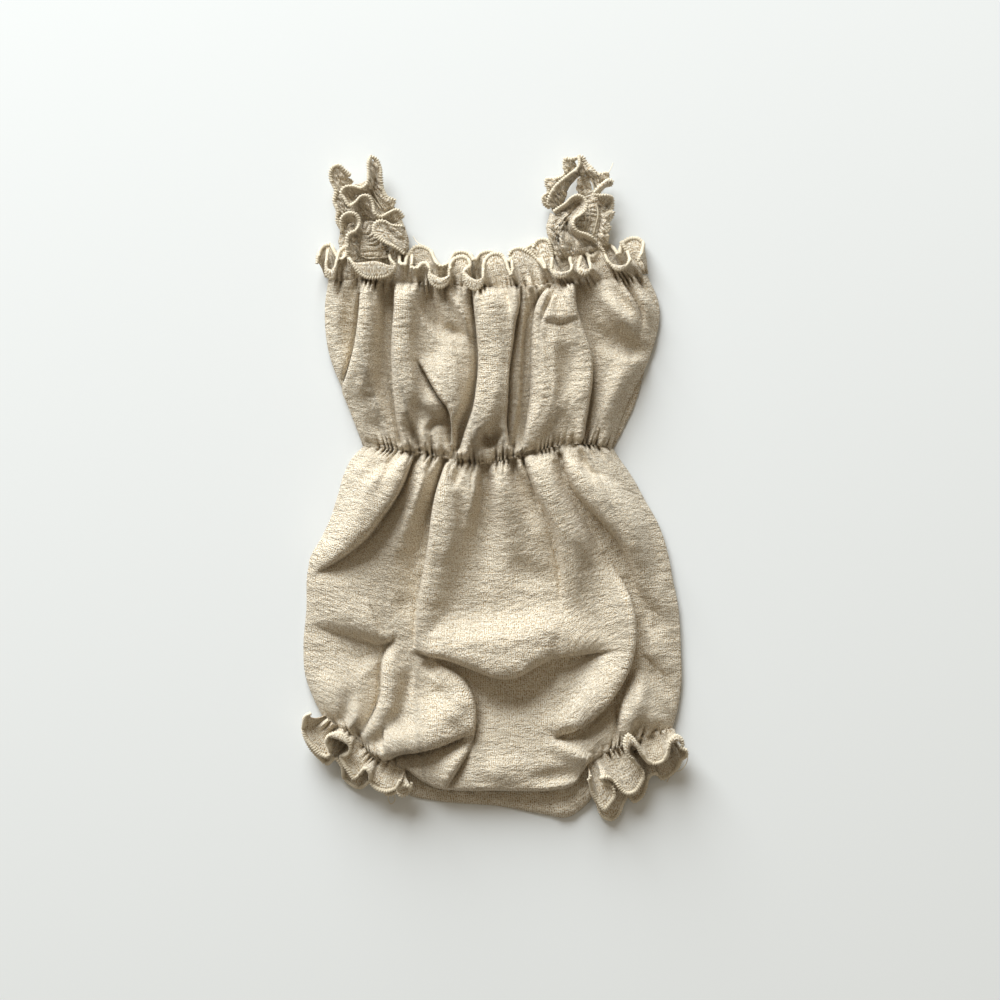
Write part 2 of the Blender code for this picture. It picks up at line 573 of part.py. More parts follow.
# Front bloomer
u = np.linspace(0, 1, BLOOMER_COLUMNS + 1)
v = rows_between_seams(BLOOMER_ROWS, (True, False))
cloth("front_bloomer", tucked_sides(bloomer(u, v)), LINEN)

# Waist band: gathered on its elastic between the bodice and the bloomers
columns = 2 * WAIST_GATHERS
across = np.linspace(0, len(BODICE_FOLDS), columns + 1)
above = bodice(across, np.ones(columns + 1)) - (0, 1.2 * SEAM_GAP, 0)
u = np.clip((above[:, 0] - WAIST_LINE[0][0]) / (WAIST_LINE[-1][0] - WAIST_LINE[0][0]), 0, 1)
below = bloomer(u, np.array([0.0]))[0] + (0, SEAM_GAP, 0)
middle = (above + below) / 2
middle[:, 2] += gathers(WAIST_GATHERS, columns)
cloth("waist_band", tucked_sides(np.stack([above, middle, below])), LINEN)

# Neck band: gathered on the neck elastic, with the front ruffle above it
columns = 2 * NECK_GATHERS
across = np.linspace(0, len(BODICE_FOLDS), columns + 1)
seam = bodice(across, np.zeros(columns + 1)) + (0, SEAM_GAP, 0)
elastic = seam + (0, NECK_BAND, 0)
elastic[:, 2] = elastic_z(np.linspace(0, 1, columns + 1))
shirred = (seam + elastic) / 2
shirred[:, 2] += gathers(NECK_GATHERS, columns)
cloth("neck_band", tucked_sides(np.stack([elastic, shirred, seam])), LINEN)


def neck_base(share):
    """Line of the neck elastic, where the front ruffle starts."""
    x = seam[0, 0] + share * (seam[-1, 0] - seam[0, 0])
    return np.stack([x, neck_y(x) + NECK_BAND + 2 * SEAM_GAP, elastic_z(share)], axis=-1)


def neck_back_base(share):
    """Top edge of the back bodice, where the back ruffle starts."""
    x = BACK_BODICE_LEFT[0] + share * (BACK_BODICE_RIGHT[0] - BACK_BODICE_LEFT[0])
    return np.stack([x, neck_y(x) + SEAM_GAP, np.full(len(x), BACK_TOP)], axis=-1)


columns = FRILL_COLUMNS_A_TIP * (len(NECK_TIPS) - 1)
frill = ruffle(neck_base, NECK_TIPS, (0, 2, NECK_RISE), columns, 3)
cloth("neck_frill_front", frill[::-1], LINEN_FRILL)
columns = 3 * (len(NECK_BACK_TIPS) - 1)
frill = ruffle(neck_back_base, NECK_BACK_TIPS, (0, 6, 0.5), columns, 2)
cloth("neck_frill_back", frill[::-1], LINEN_BACK)

# Leg ruffles, each sewn to the hem of its own front or back panel
for name, hem, z, first, last, tips in (
    ("leg_frill_left", FRONT_HEM, HEM_Z, 0, 3, LEFT_LEG_TIPS),
    ("leg_frill_left_back", BACK_HEM, BACK_TOP, 0, 3, LEFT_LEG_BACK_TIPS),
    ("leg_frill_right", FRONT_HEM, HEM_Z, 9, 13, RIGHT_LEG_TIPS),
    ("leg_frill_right_back", BACK_HEM, BACK_TOP, 8, 12, RIGHT_LEG_BACK_TIPS),
):
    columns = FRILL_COLUMNS_A_TIP * (len(tips) - 1)
    frill = ruffle(hem_line(hem, z, first, last), tips, (0, 0, LEG_RISE if z > BACK_TOP else 0), columns, 3)
    cloth(name, frill, LINEN_FRILL if z > BACK_TOP else LINEN_BACK)

# Straps
cloth("strap_left", strap(LEFT_STRAP, LEFT_STRAP_LEFT, LEFT_STRAP_RIGHT, 0.5), LINEN_FRILL)
cloth("strap_right", strap(RIGHT_STRAP, RIGHT_STRAP_LEFT, RIGHT_STRAP_RIGHT, 0.5), LINEN_FRILL)
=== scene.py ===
"""A baby's frilled summer romper in crinkled gauze, laid out flat on its back on a pale table.

Tables and sizes are in millimetres, and MM turns them into metres. +X is to the right of the laid romper, +Y
to its neck, +Z up."""

import bpy
import numpy as np
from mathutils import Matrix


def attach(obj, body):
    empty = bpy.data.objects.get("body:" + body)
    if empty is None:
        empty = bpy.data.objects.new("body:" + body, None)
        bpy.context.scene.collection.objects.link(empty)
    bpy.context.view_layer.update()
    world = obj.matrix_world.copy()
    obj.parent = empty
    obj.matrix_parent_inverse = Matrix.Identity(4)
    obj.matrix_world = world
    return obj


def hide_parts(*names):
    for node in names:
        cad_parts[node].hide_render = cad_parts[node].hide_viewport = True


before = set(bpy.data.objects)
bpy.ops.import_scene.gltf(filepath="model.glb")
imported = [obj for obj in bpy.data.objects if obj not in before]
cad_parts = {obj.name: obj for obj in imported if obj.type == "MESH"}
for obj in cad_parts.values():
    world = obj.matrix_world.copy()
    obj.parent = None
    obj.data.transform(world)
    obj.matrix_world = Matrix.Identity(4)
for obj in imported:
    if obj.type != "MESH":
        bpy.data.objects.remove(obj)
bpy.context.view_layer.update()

# ---- Table and light ----
# A pale matt table top under one broad lamp beyond the neck, a little to the left, with an even glow all
# round. The camera looks straight down on it.
MM = 0.001
PALE_TABLE = "#EBEEEF"
LAMP_X = -1350
LAMP_Y = 3700
LAMP_Z = 1900
LAMP_SIZE = 3400
FOCAL_LENGTH = 100
SENSOR_WIDTH = 36
VIEW_WIDTH = 620
EYE = np.array([3.1, -7.75, VIEW_WIDTH * FOCAL_LENGTH / SENSOR_WIDTH])


def linear(colour):
    """Scene-linear colour of an sRGB hex value."""
    value = np.array([int(colour[i : i + 2], 16) for i in (1, 3, 5)]) / 255
    return (*np.where(value <= 0.04045, value / 12.92, ((value + 0.055) / 1.055) ** 2.4), 1.0)


def add(tree, kind, inputs=(), **settings):
    """Adds one node: its settings are attributes, and each input is a value or another node's output."""
    made = tree.nodes.new(kind)
    for name, value in settings.items():
        setattr(made, name, value)
    for name, value in dict(inputs).items():
        if isinstance(value, bpy.types.NodeSocket):
            tree.links.new(value, made.inputs[name])
        else:
            made.inputs[name].default_value = value
    return made


def new_material(name, roughness):
    """Material with an empty tree but for its Principled shader and output, and its tree and shader."""
    material = bpy.data.materials.new(name)
    material.use_nodes = True
    tree = material.node_tree
    tree.nodes.clear()
    shader = add(tree, "ShaderNodeBsdfPrincipled", {"Roughness": roughness})
    output = add(tree, "ShaderNodeOutputMaterial")
    tree.links.new(shader.outputs[0], output.inputs[0])
    return material, tree, shader


painted_board, tree, shader = new_material("painted_board", 0.7)
shader.inputs["Base Color"].default_value = linear(PALE_TABLE)
bpy.ops.mesh.primitive_plane_add(size=6)
table_top = bpy.context.object
table_top.name = "table_top"
table_top.data.materials.append(painted_board)

scene = bpy.context.scene
scene.view_settings.view_transform = "Standard"
glow = bpy.data.worlds.new("glow")
glow.use_nodes = True
glow.node_tree.nodes["Background"].inputs["Color"].default_value = (1, 0.88, 0.7, 1)
glow.node_tree.nodes["Background"].inputs["Strength"].default_value = 0.28
scene.world = glow
lamp = bpy.data.lights.new("window", "AREA")
lamp.shape = "DISK"
lamp.size = LAMP_SIZE * MM
lamp.energy = 375
lamp.color = (0.94, 0.98, 1)
window = bpy.data.objects.new("window", lamp)
scene.collection.objects.link(window)
window.location = (LAMP_X * MM, LAMP_Y * MM, LAMP_Z * MM)
window.rotation_euler = (np.arctan2(np.hypot(LAMP_X, LAMP_Y), LAMP_Z), 0, np.arctan2(LAMP_X, -LAMP_Y))

lens = bpy.data.cameras.new("above")
lens.lens = FOCAL_LENGTH
lens.sensor_width = SENSOR_WIDTH
camera = bpy.data.objects.new("above", lens)
camera.location = EYE * MM
scene.collection.objects.link(camera)
scene.camera = camera

# ---- Back of the bodice and of the bloomers ----
# Cut from the same crinkled gauze as the front and sewn to it at the sides. They lie flat on the table under
# it and show a little at the sides of the waist and below the crotch.
PANEL_WALL = 0.9
BACK_Z = 1.2
BACK_RISE = 1.4
BACK_INSET = 1.5
BACK_LENGTH = 200
BACK_HEM_PUFF = 4.5
BACK_HEM_ROUND = 5
NECK_LINE = (
    (-101.7, 129.3), (-77.5, 128), (-40.3, 125.5), (-3.1, 123.7), (34.1, 125.5), (71.3, 128.7), (91.1, 131.1),
)
WAIST_LINE = (
    (-81.2, 25.7), (-55.8, 22.6), (-29.8, 18.3), (-5.6, 15.2), (18.6, 20.1), (39.7, 25.7), (58.9, 26.4),
    (73.2, 23.9),
)
LEFT_SIDE = (
    (-81.8, 20.8), (-89.3, 13.3), (-94.2, 3.4), (-98, -9.6), (-102.3, -22.6), (-107.9, -34.4),
    (-114.7, -46.2), (-116.6, -57.4), (-116.9, -76), (-118.7, -100.8), (-117.5, -116.9), (-112.8, -129.9),
    (-108.5, -138.6), (-104.8, -145.4),
)
RIGHT_SIDE = (
    (71.9, 20.8), (75.6, 15.2), (83.7, 4), (91.8, -10.2), (100.4, -25.1), (106, -41.2), (109.4, -58),
    (112.8, -74.1), (114.7, -100.8), (115.1, -123.1), (112.8, -137.3), (109.1, -151.6),
)
BACK_HEM = (
    (-104.8, -145.4), (-86.8, -159.7), (-72.5, -173.9), (-55.2, -190), (-34.7, -194.4), (3.1, -197.5),
    (29.8, -202.4), (45.3, -204.3), (58.3, -195.6), (68.8, -176.4), (81.8, -167.1), (96.1, -159.7),
    (109.1, -151.6),
)
# The sides of the bodice are given by their x at these shares of its length, from the neck to the waist.
LEVELS = (0, 0.15, 0.45, 0.75, 1)
BACK_BODICE_LEFT = (-101.1, -102.9, -100.4, -91.1, -81.8)
BACK_BODICE_RIGHT = (93, 99.2, 94.9, 86.2, 73.2)
OATMEAL = "#DDD0B8"
# The light and dark oatmeal give the gauze its own uneven tone, and also paint highlight on the tops of its
# wrinkles and shade in their hollows.
OATMEAL_LIGHT_AND_HIGHLIGHT = "#F0EADC"
OATMEAL_DARK_AND_SHADE = "#B0946E"
CREAM_THREAD = "#E4DAC4"
THREAD_PITCH = 1.3
WAVE_LENGTH = 0.314


def through(at, known_at, known):
    """Cubic through the known values, its slope at each the mean slope of the values beside it."""
    known_at = np.asarray(known_at, float)
    known = np.asarray(known, float)
    slope = np.gradient(known, known_at)
    i = np.clip(np.searchsorted(known_at, at) - 1, 0, len(known_at) - 2)
    step = known_at[i + 1] - known_at[i]
    t = np.clip((at - known_at[i]) / step, 0, 1)
    a = known[i]
    b = known[i + 1]
    return a + (b - a) * t * t * (3 - 2 * t) + step * t * (1 - t) * ((1 - t) * slope[i] - t * slope[i + 1])


def run_along(points):
    """How far along a line each of its points lies, in plan."""
    steps = np.linalg.norm(np.diff(points[:, :2], axis=0), axis=1)
    return np.concatenate([[0], np.cumsum(steps)])


def along(points, share):
    """Points of a smooth line at these shares of its length."""
    points = np.asarray(points, float)
    length = run_along(points)
    columns = [through(share, length / length[-1], points[:, k]) for k in range(points.shape[1])]
    return np.stack(columns, axis=-1)


def ease(t):
    """Smooth step from 0 to 1."""
    t = np.clip(t, 0, 1)
    return t * t * (3 - 2 * t)


def rounded(share):
    """Quarter circle from 0 to 1."""
    return np.sqrt(1 - (1 - np.clip(share, 0, 1)) ** 2)


def ripples(u, v, wide, tall, seed, count=40):
    """Uneven wrinkles of height about 1: the sum of plane waves of chance directions and phases, whose
    lengths are about wide across and tall down."""
    chance = np.random.default_rng(seed)
    a = chance.normal(0, 1 / wide, count)
    b = chance.normal(0, 1 / tall, count)
    phase = chance.uniform(0, 2 * np.pi, count)
    waves = np.cos(2 * np.pi * (u[..., None] * a + v[..., None] * b) + phase)
    return waves.sum(axis=-1) / np.sqrt(count / 2)


def neck_y(x):
    """The line of the neck elastic."""
    line = np.array(NECK_LINE)
    return through(x, line[:, 0], line[:, 1])


def waist_y(x):
    """The line of the waist elastic."""
    line = np.array(WAIST_LINE)
    return through(x, line[:, 0], line[:, 1])


def waist_x(u):
    """Places along the waist elastic at these shares of its width."""
    return WAIST_LINE[0][0] + u * (WAIST_LINE[-1][0] - WAIST_LINE[0][0])


def levels(values, v):
    """The x of a side of the bodice at these shares of its length."""
    return through(v, LEVELS, values)


def crinkled_gauze():
    """Cotton and linen gauze, woven plain with slack threads and shrunk, so that it is matt and puckers into
    short wrinkles that run across the threads of the warp, with paler slubs and darker gaps between the
    threads. Its colour is also painted darker and warmer in the hollows of the wrinkles and paler on their
    tops: painted shade and painted highlight."""
    material, tree, shader = new_material("crinkled_gauze", 0.95)
    laid_out = add(tree, "ShaderNodeUVMap", uv_map="laid_out").outputs[0]

    def patches(wide, tall, detail):
        """Chance patches of this size in millimetres."""
        scale = (1 / (wide * MM), 1 / (tall * MM), 1)
        placed = add(tree, "ShaderNodeMapping", {"Vector": laid_out, "Scale": scale}, vector_type="POINT")
        inputs = {"Vector": placed.outputs[0], "Scale": 1.0, "Detail": detail, "Roughness": 0.6}
        return add(tree, "ShaderNodeTexNoise", inputs, noise_dimensions="2D").outputs["Fac"]

    def shades(pattern, *stops):
        """Colours or greys at these places in a pattern, and those between them."""
        made = add(tree, "ShaderNodeValToRGB", {"Fac": pattern})
        for i, (place, colour) in enumerate(stops):
            stop = made.color_ramp.elements[i] if i < 2 else made.color_ramp.elements.new(place)
            stop.position = place
            stop.color = colour
        return made.outputs["Color"]

    def threads(direction):
        """Parallel threads across or down. The real ones are a third as far apart, too fine to draw at this
        size. At scale 1, the wave texture's bands are WAVE_LENGTH metres apart."""
        scale = WAVE_LENGTH / (THREAD_PITCH * MM)
        inputs = {"Vector": laid_out, "Scale": scale, "Distortion": 1.2, "Detail": 1.0, "Detail Scale": 0.4}
        return add(tree, "ShaderNodeTexWave", inputs, bands_direction=direction).outputs["Fac"]

    def laid_over(pattern, share, rest):
        """This share of a pattern on top of the rest."""
        made = add(tree, "ShaderNodeMath", {0: pattern, 1: share, 2: rest}, operation="MULTIPLY_ADD")
        return made.outputs[0]

    crinkle = patches(2.8, 1.6, 2.0)
    weave = laid_over(threads("Y"), 0.4, threads("X"))
    grain = laid_over(weave, 0.16, patches(0.85, 0.9, 1.5))
    height = laid_over(patches(9.0, 3.4, 1.0), 1.4, laid_over(crinkle, 0.9, grain))
    bump = add(tree, "ShaderNodeBump", {"Strength": 1.0, "Distance": 0.9 * MM, "Height": height})
    tree.links.new(bump.outputs[0], shader.inputs["Normal"])
    # The tone follows a share of the crinkle pattern that also bumps the cloth, so the hollows of the
    # wrinkles are painted darker and warmer and their tops paler: painted shade and highlight, over the real
    # uneven tone of the grain and threads.
    tone = shades(
        laid_over(crinkle, 0.3, grain),
        (0.54, linear(OATMEAL_DARK_AND_SHADE)), (0.94, linear(OATMEAL_LIGHT_AND_HIGHLIGHT)), (0.74, linear(OATMEAL)),
    )
    slub = shades(patches(22.0, 0.7, 1.0), (0.62, (0, 0, 0, 1)), (0.8, (0.6, 0.6, 0.6, 1)))
    mixed = add(tree, "ShaderNodeMix", {0: slub, 6: tone, 7: linear(OATMEAL_LIGHT_AND_HIGHLIGHT)}, data_type="RGBA")
    tree.links.new(mixed.outputs[2], shader.inputs["Base Color"])
    shader.inputs["Sheen Weight"].default_value = 0.15
    shader.inputs["Sheen Roughness"].default_value = 0.5
    shader.inputs["Specular IOR Level"].default_value = 0.2
    return material


gauze = crinkled_gauze()


def cloth(name, *grids, wall=PANEL_WALL):
    """Thin shell below grids of points, in rows away from the neck and columns to the right. Each cell is a
    quad, and the UV map is the mean length along the rows and columns in metres."""
    corners, faces, laid_out = [], [], []
    for grid in grids:
        points = grid * MM
        down, across = points.shape[:2]
        number = np.arange(down * across).reshape(down, across) + sum(map(len, corners))
        quads = np.stack([number[:-1, :-1], number[1:, :-1], number[1:, 1:], number[:-1, 1:]], axis=-1)
        to_right = np.linalg.norm(np.diff(points, axis=1), axis=2).mean(axis=0)
        to_below = np.linalg.norm(np.diff(points, axis=0), axis=2).mean(axis=1)
        right = np.concatenate([[0], np.cumsum(to_right)])
        below = np.concatenate([[0], np.cumsum(to_below)])
        corners.append(points.reshape(-1, 3))
        faces.append(quads.reshape(-1, 4))
        laid_out.append(np.stack(np.broadcast_arrays(right, -below[:, None]), axis=-1).reshape(-1, 2))
    points, quads, laid_out = (np.concatenate(parts) for parts in (corners, faces, laid_out))
    mesh = bpy.data.meshes.new(name)
    mesh.vertices.add(len(points))
    mesh.vertices.foreach_set("co", points.ravel())
    mesh.loops.add(quads.size)
    mesh.loops.foreach_set("vertex_index", quads.ravel())
    mesh.polygons.add(len(quads))
    mesh.polygons.foreach_set("loop_start", np.arange(0, quads.size, 4))
    mesh.polygons.foreach_set("use_smooth", np.ones(len(quads), bool))
    mesh.uv_layers.new(name="laid_out").data.foreach_set("uv", laid_out[quads.ravel()].ravel())
    mesh.update(calc_edges=True)
    piece = bpy.data.objects.new(name, mesh)
    scene.collection.objects.link(piece)
    shell = piece.modifiers.new("wall", "SOLIDIFY")
    shell.thickness = wall * MM
    shell.offset = -1
    shell.use_even_offset = False
    mesh.materials.append(gauze)
    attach(piece, "root")
    return piece


def coons(top, bottom, left, right, u, v):
    """Plan points of a panel from its four edge lines, each with its own points at u or v: the mean of the
    edges across and of those down, each weighted by how near they are, less the same of the corners."""
    corner = (
        (1 - u) * (1 - v) * top[:, :1] + u * (1 - v) * top[:, -1:]
        + (1 - u) * v * bottom[:, :1] + u * v * bottom[:, -1:]
    )
    return (1 - v) * top + v * bottom + (1 - u) * left + u * right - corner


def bloomer_plan(hem, inset, u, v):
    """Plan points of the bloomer front or back between the waist, its side seams and its hem. The sides are
    shifted evenly to end at the corners of the waist and the hem."""
    down = v[:, None, None]
    top = np.stack([waist_x(u), waist_y(waist_x(u))], axis=-1)[None]
    bottom = along(hem, u)[None]
    left = along(LEFT_SIDE, v)[:, None]
    right = along(RIGHT_SIDE, v)[:, None]
    left = left + (1 - down) * (top[:, :1] - left[:1]) + down * (bottom[:, :1] - left[-1:])
    right = right + (1 - down) * (top[:, -1:] - right[:1]) + down * (bottom[:, -1:] - right[-1:])
    plan = coons(top, bottom, left, right, u[None, :, None], down)
    plan[..., 0] += inset * (1 - 2 * u)
    return plan


def bodice_back(u, v):
    """Points of the bodice back: u runs from its left side to its right, v from the neck to the waist. It is
    level, comes down to the table by smooth steps at its edges and has faint wrinkles."""
    left = levels(BACK_BODICE_LEFT, v)
    x = left + u * (levels(BACK_BODICE_RIGHT, v) - left)
    y = neck_y(x) + v * (waist_y(x) - neck_y(x))
    level = ease(np.minimum(u, 1 - u) / 0.03) * ease(v / 0.06) * ease((1 - v) / 0.06)
    z = BACK_Z + BACK_RISE * level + 0.15 * ripples(x, y, 9, 4, 2)
    return np.stack([x, y, z], axis=-1)


def bloomer_back(u, v):
    """Points of the bloomer back: u runs from its left side seam to its right, v from the waist to its hem.
    It is level, three times as high on the right as on the left, comes down as a quarter circle at the hem
    and by smooth steps at its other edges, and has soft wrinkles."""
    plan = bloomer_plan(BACK_HEM, BACK_INSET, u, v)
    x = plan[..., 0]
    y = plan[..., 1]
    to_hem = (1 - v[:, None]) * BACK_LENGTH + 0 * x
    puff = BACK_HEM_PUFF * (0.35 + 0.65 * ease((u - 0.5) / 0.2)) * rounded(to_hem / BACK_HEM_ROUND)
    z = BACK_Z + puff * ease(np.minimum(u, 1 - u)[None, :] / 0.05) * ease(v[:, None] / 0.05)
    wrinkles = 0.5 * ripples(x, y, 9, 14, 3) + 0.25 * ripples(x, y, 12, 3, 13)
    return np.stack([x, y, np.maximum(z + wrinkles * ease(to_hem / 4), 1)], axis=-1)


back_bodice = cloth("back_bodice_panel", bodice_back(np.linspace(0, 1, 120), np.linspace(0, 1, 60)[:, None]))
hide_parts("back_bodice")

back_bloomer = cloth("back_bloomer_panel", bloomer_back(np.linspace(0, 1, 200), np.linspace(0, 1, 110)))
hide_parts("back_bloomer")

# ---- Front of the bodice ----
# One panel of gauze, gathered by the elastic at the neck to two thirds of its width and at the waist to half
# of it, so that it stands up in long folds between them, some of which lie over their neighbour.
NECK_Z = 9.5
NECK_PITCH = 3.8
NECK_PLEATS = 1.3
WAIST_Z = 8.6
WAIST_PITCH = 3
WAIST_PLEATS = 1.1
FRONT_LOW = 2.4
SIDE_Z = 3.4
BODICE_Z = 12.5
BODICE_FOLDS = 1.8
BODICE_CREST = 22
BODICE_SIDE_ROUND = 24
GROOVE = 2.4
BODICE_LEFT = (-102.9, -105.1, -102.6, -90.5, -81.2)
BODICE_RIGHT = (94.2, 101.1, 96.7, 81.2, 71.9)
# Creases: name, which side is the upper one looking along it (1 left, -1 right), how far that side hangs
# over, over how much of it its edge is round, the share of its reach that is level. Then rows: x, y, how high
# the upper side stands and how far it takes to fade, how deep the lower side lies and how far it takes to
# fade.
BODICE_CREASES = (
    ("first", 1, 1.2, 6, 0.35, (
        (-83.1, 126.2, 4, 14, 2, 8), (-84.9, 102, 7, 17, 4, 12), (-86.8, 89, 7, 18, 4, 12),
        (-91.1, 72.2, 7, 22, 4, 10), (-95.5, 57.4, 5, 26, 3, 8), (-89.9, 40.6, 3, 16, 2, 6),
        (-83.1, 27, 2, 12, 1, 5))),
    ("second", 1, 1.6, 6, 0.4, (
        (-63.2, 128.7, 5, 15, 6, 9), (-62.6, 113.2, 8, 18, 8, 11), (-63.9, 91.5, 8, 18, 6, 11),
        (-63.2, 62.9, 7, 20, 5, 11), (-61.4, 45.6, 5, 16, 4, 8), (-58.3, 28.2, 3, 10, 3, 6))),
    ("belly", 1, 1, 3.5, 0.2, (
        (-49, 79, 0, 12, 0, 4), (-44, 71.6, 3, 20, 2, 5), (-39.1, 62.9, 5, 22, 3, 5),
        (-34.1, 54.9, 6, 20, 3, 5), (-29.1, 48, 6, 14, 4, 6), (-27.3, 40.6, 5, 10, 7, 9),
        (-27.3, 28.2, 3, 8, 3, 7))),
    ("deep", 1, 1.5, 6, 0.45, (
        (-14.9, 126.2, 4, 14, 4, 6), (-13.6, 115, 7, 22, 4, 6), (-11.8, 97.7, 8, 26, 5, 6),
        (-10.5, 79, 7, 26, 5, 6), (-11.8, 61.7, 7, 26, 6, 6), (-14.3, 48, 7, 22, 9, 8),
        (-18, 38.1, 6, 16, 12, 10), (-22.3, 24.5, 4, 12, 8, 8))),
    ("right_of_middle", -1, 0.6, 2.5, 0.2, (
        (16.1, 126.2, 2, 10, 2, 5), (15.5, 113.2, 3, 14, 2.5, 5), (13, 102, 5, 16, 3, 5),
        (11.2, 88.3, 5, 18, 3, 5), (9.3, 74.7, 5, 18, 3, 5), (8.1, 54.2, 5, 16, 3, 5),
        (7.4, 39.4, 3, 12, 3, 5), (9.3, 25.7, 2, 8, 2, 4))),
    ("strip", 1, 1, 4, 0.5, (
        (36, 127.4, 2, 8, 2, 5), (26.7, 116.2, 4, 16, 3, 5), (22.9, 100.8, 5, 26, 4, 5),
        (21.7, 80.3, 5, 28, 4, 5), (21.1, 57.4, 5, 28, 4, 5), (19.2, 41.2, 4, 20, 3, 5),
        (16.7, 27, 2, 12, 2, 4))),
    ("step", 1, 0.4, 4, 0.5, (
        (39.1, 126.8, 1, 8, 2, 3), (32.9, 113.2, 2, 14, 1.5, 3), (28.5, 102, 1.5, 16, 1, 3),
        (27.3, 80.3, 0.5, 12, 0.5, 3), (26.7, 63.5, 0, 10, 0, 3))),
    ("dent", 1, 0.8, 6, 0.2, (
        (25.4, 103.8, 0, 10, 0, 8), (32.2, 101.4, 1, 18, 1, 10), (40.3, 100.8, 1.8, 20, 1.5, 14),
        (48.4, 103.2, 1, 16, 1, 10), (54.6, 106.3, 0, 10, 0, 8))),
    ("third", -1, 0.8, 4, 0.3, (
        (50.8, 128, 5, 12, 9, 14), (50.8, 112.5, 6, 16, 10, 18), (54.6, 99.5, 5, 18, 8, 22),
        (58.9, 88.3, 4, 18, 6, 26), (60.8, 72.8, 4, 18, 4, 20), (58.9, 54.2, 4, 16, 4, 12),
        (56.4, 38.8, 4, 12, 4, 9), (55.2, 28.8, 2, 9, 3, 6))),
    ("last", -1, 0.4, 4, 0.2, (
        (78.7, 126.8, 2, 8, 2, 5), (84.9, 117.5, 3, 9, 3, 6), (89.9, 107, 2, 9, 2, 6),
        (91.8, 96.4, 0, 7, 0, 6))),
)
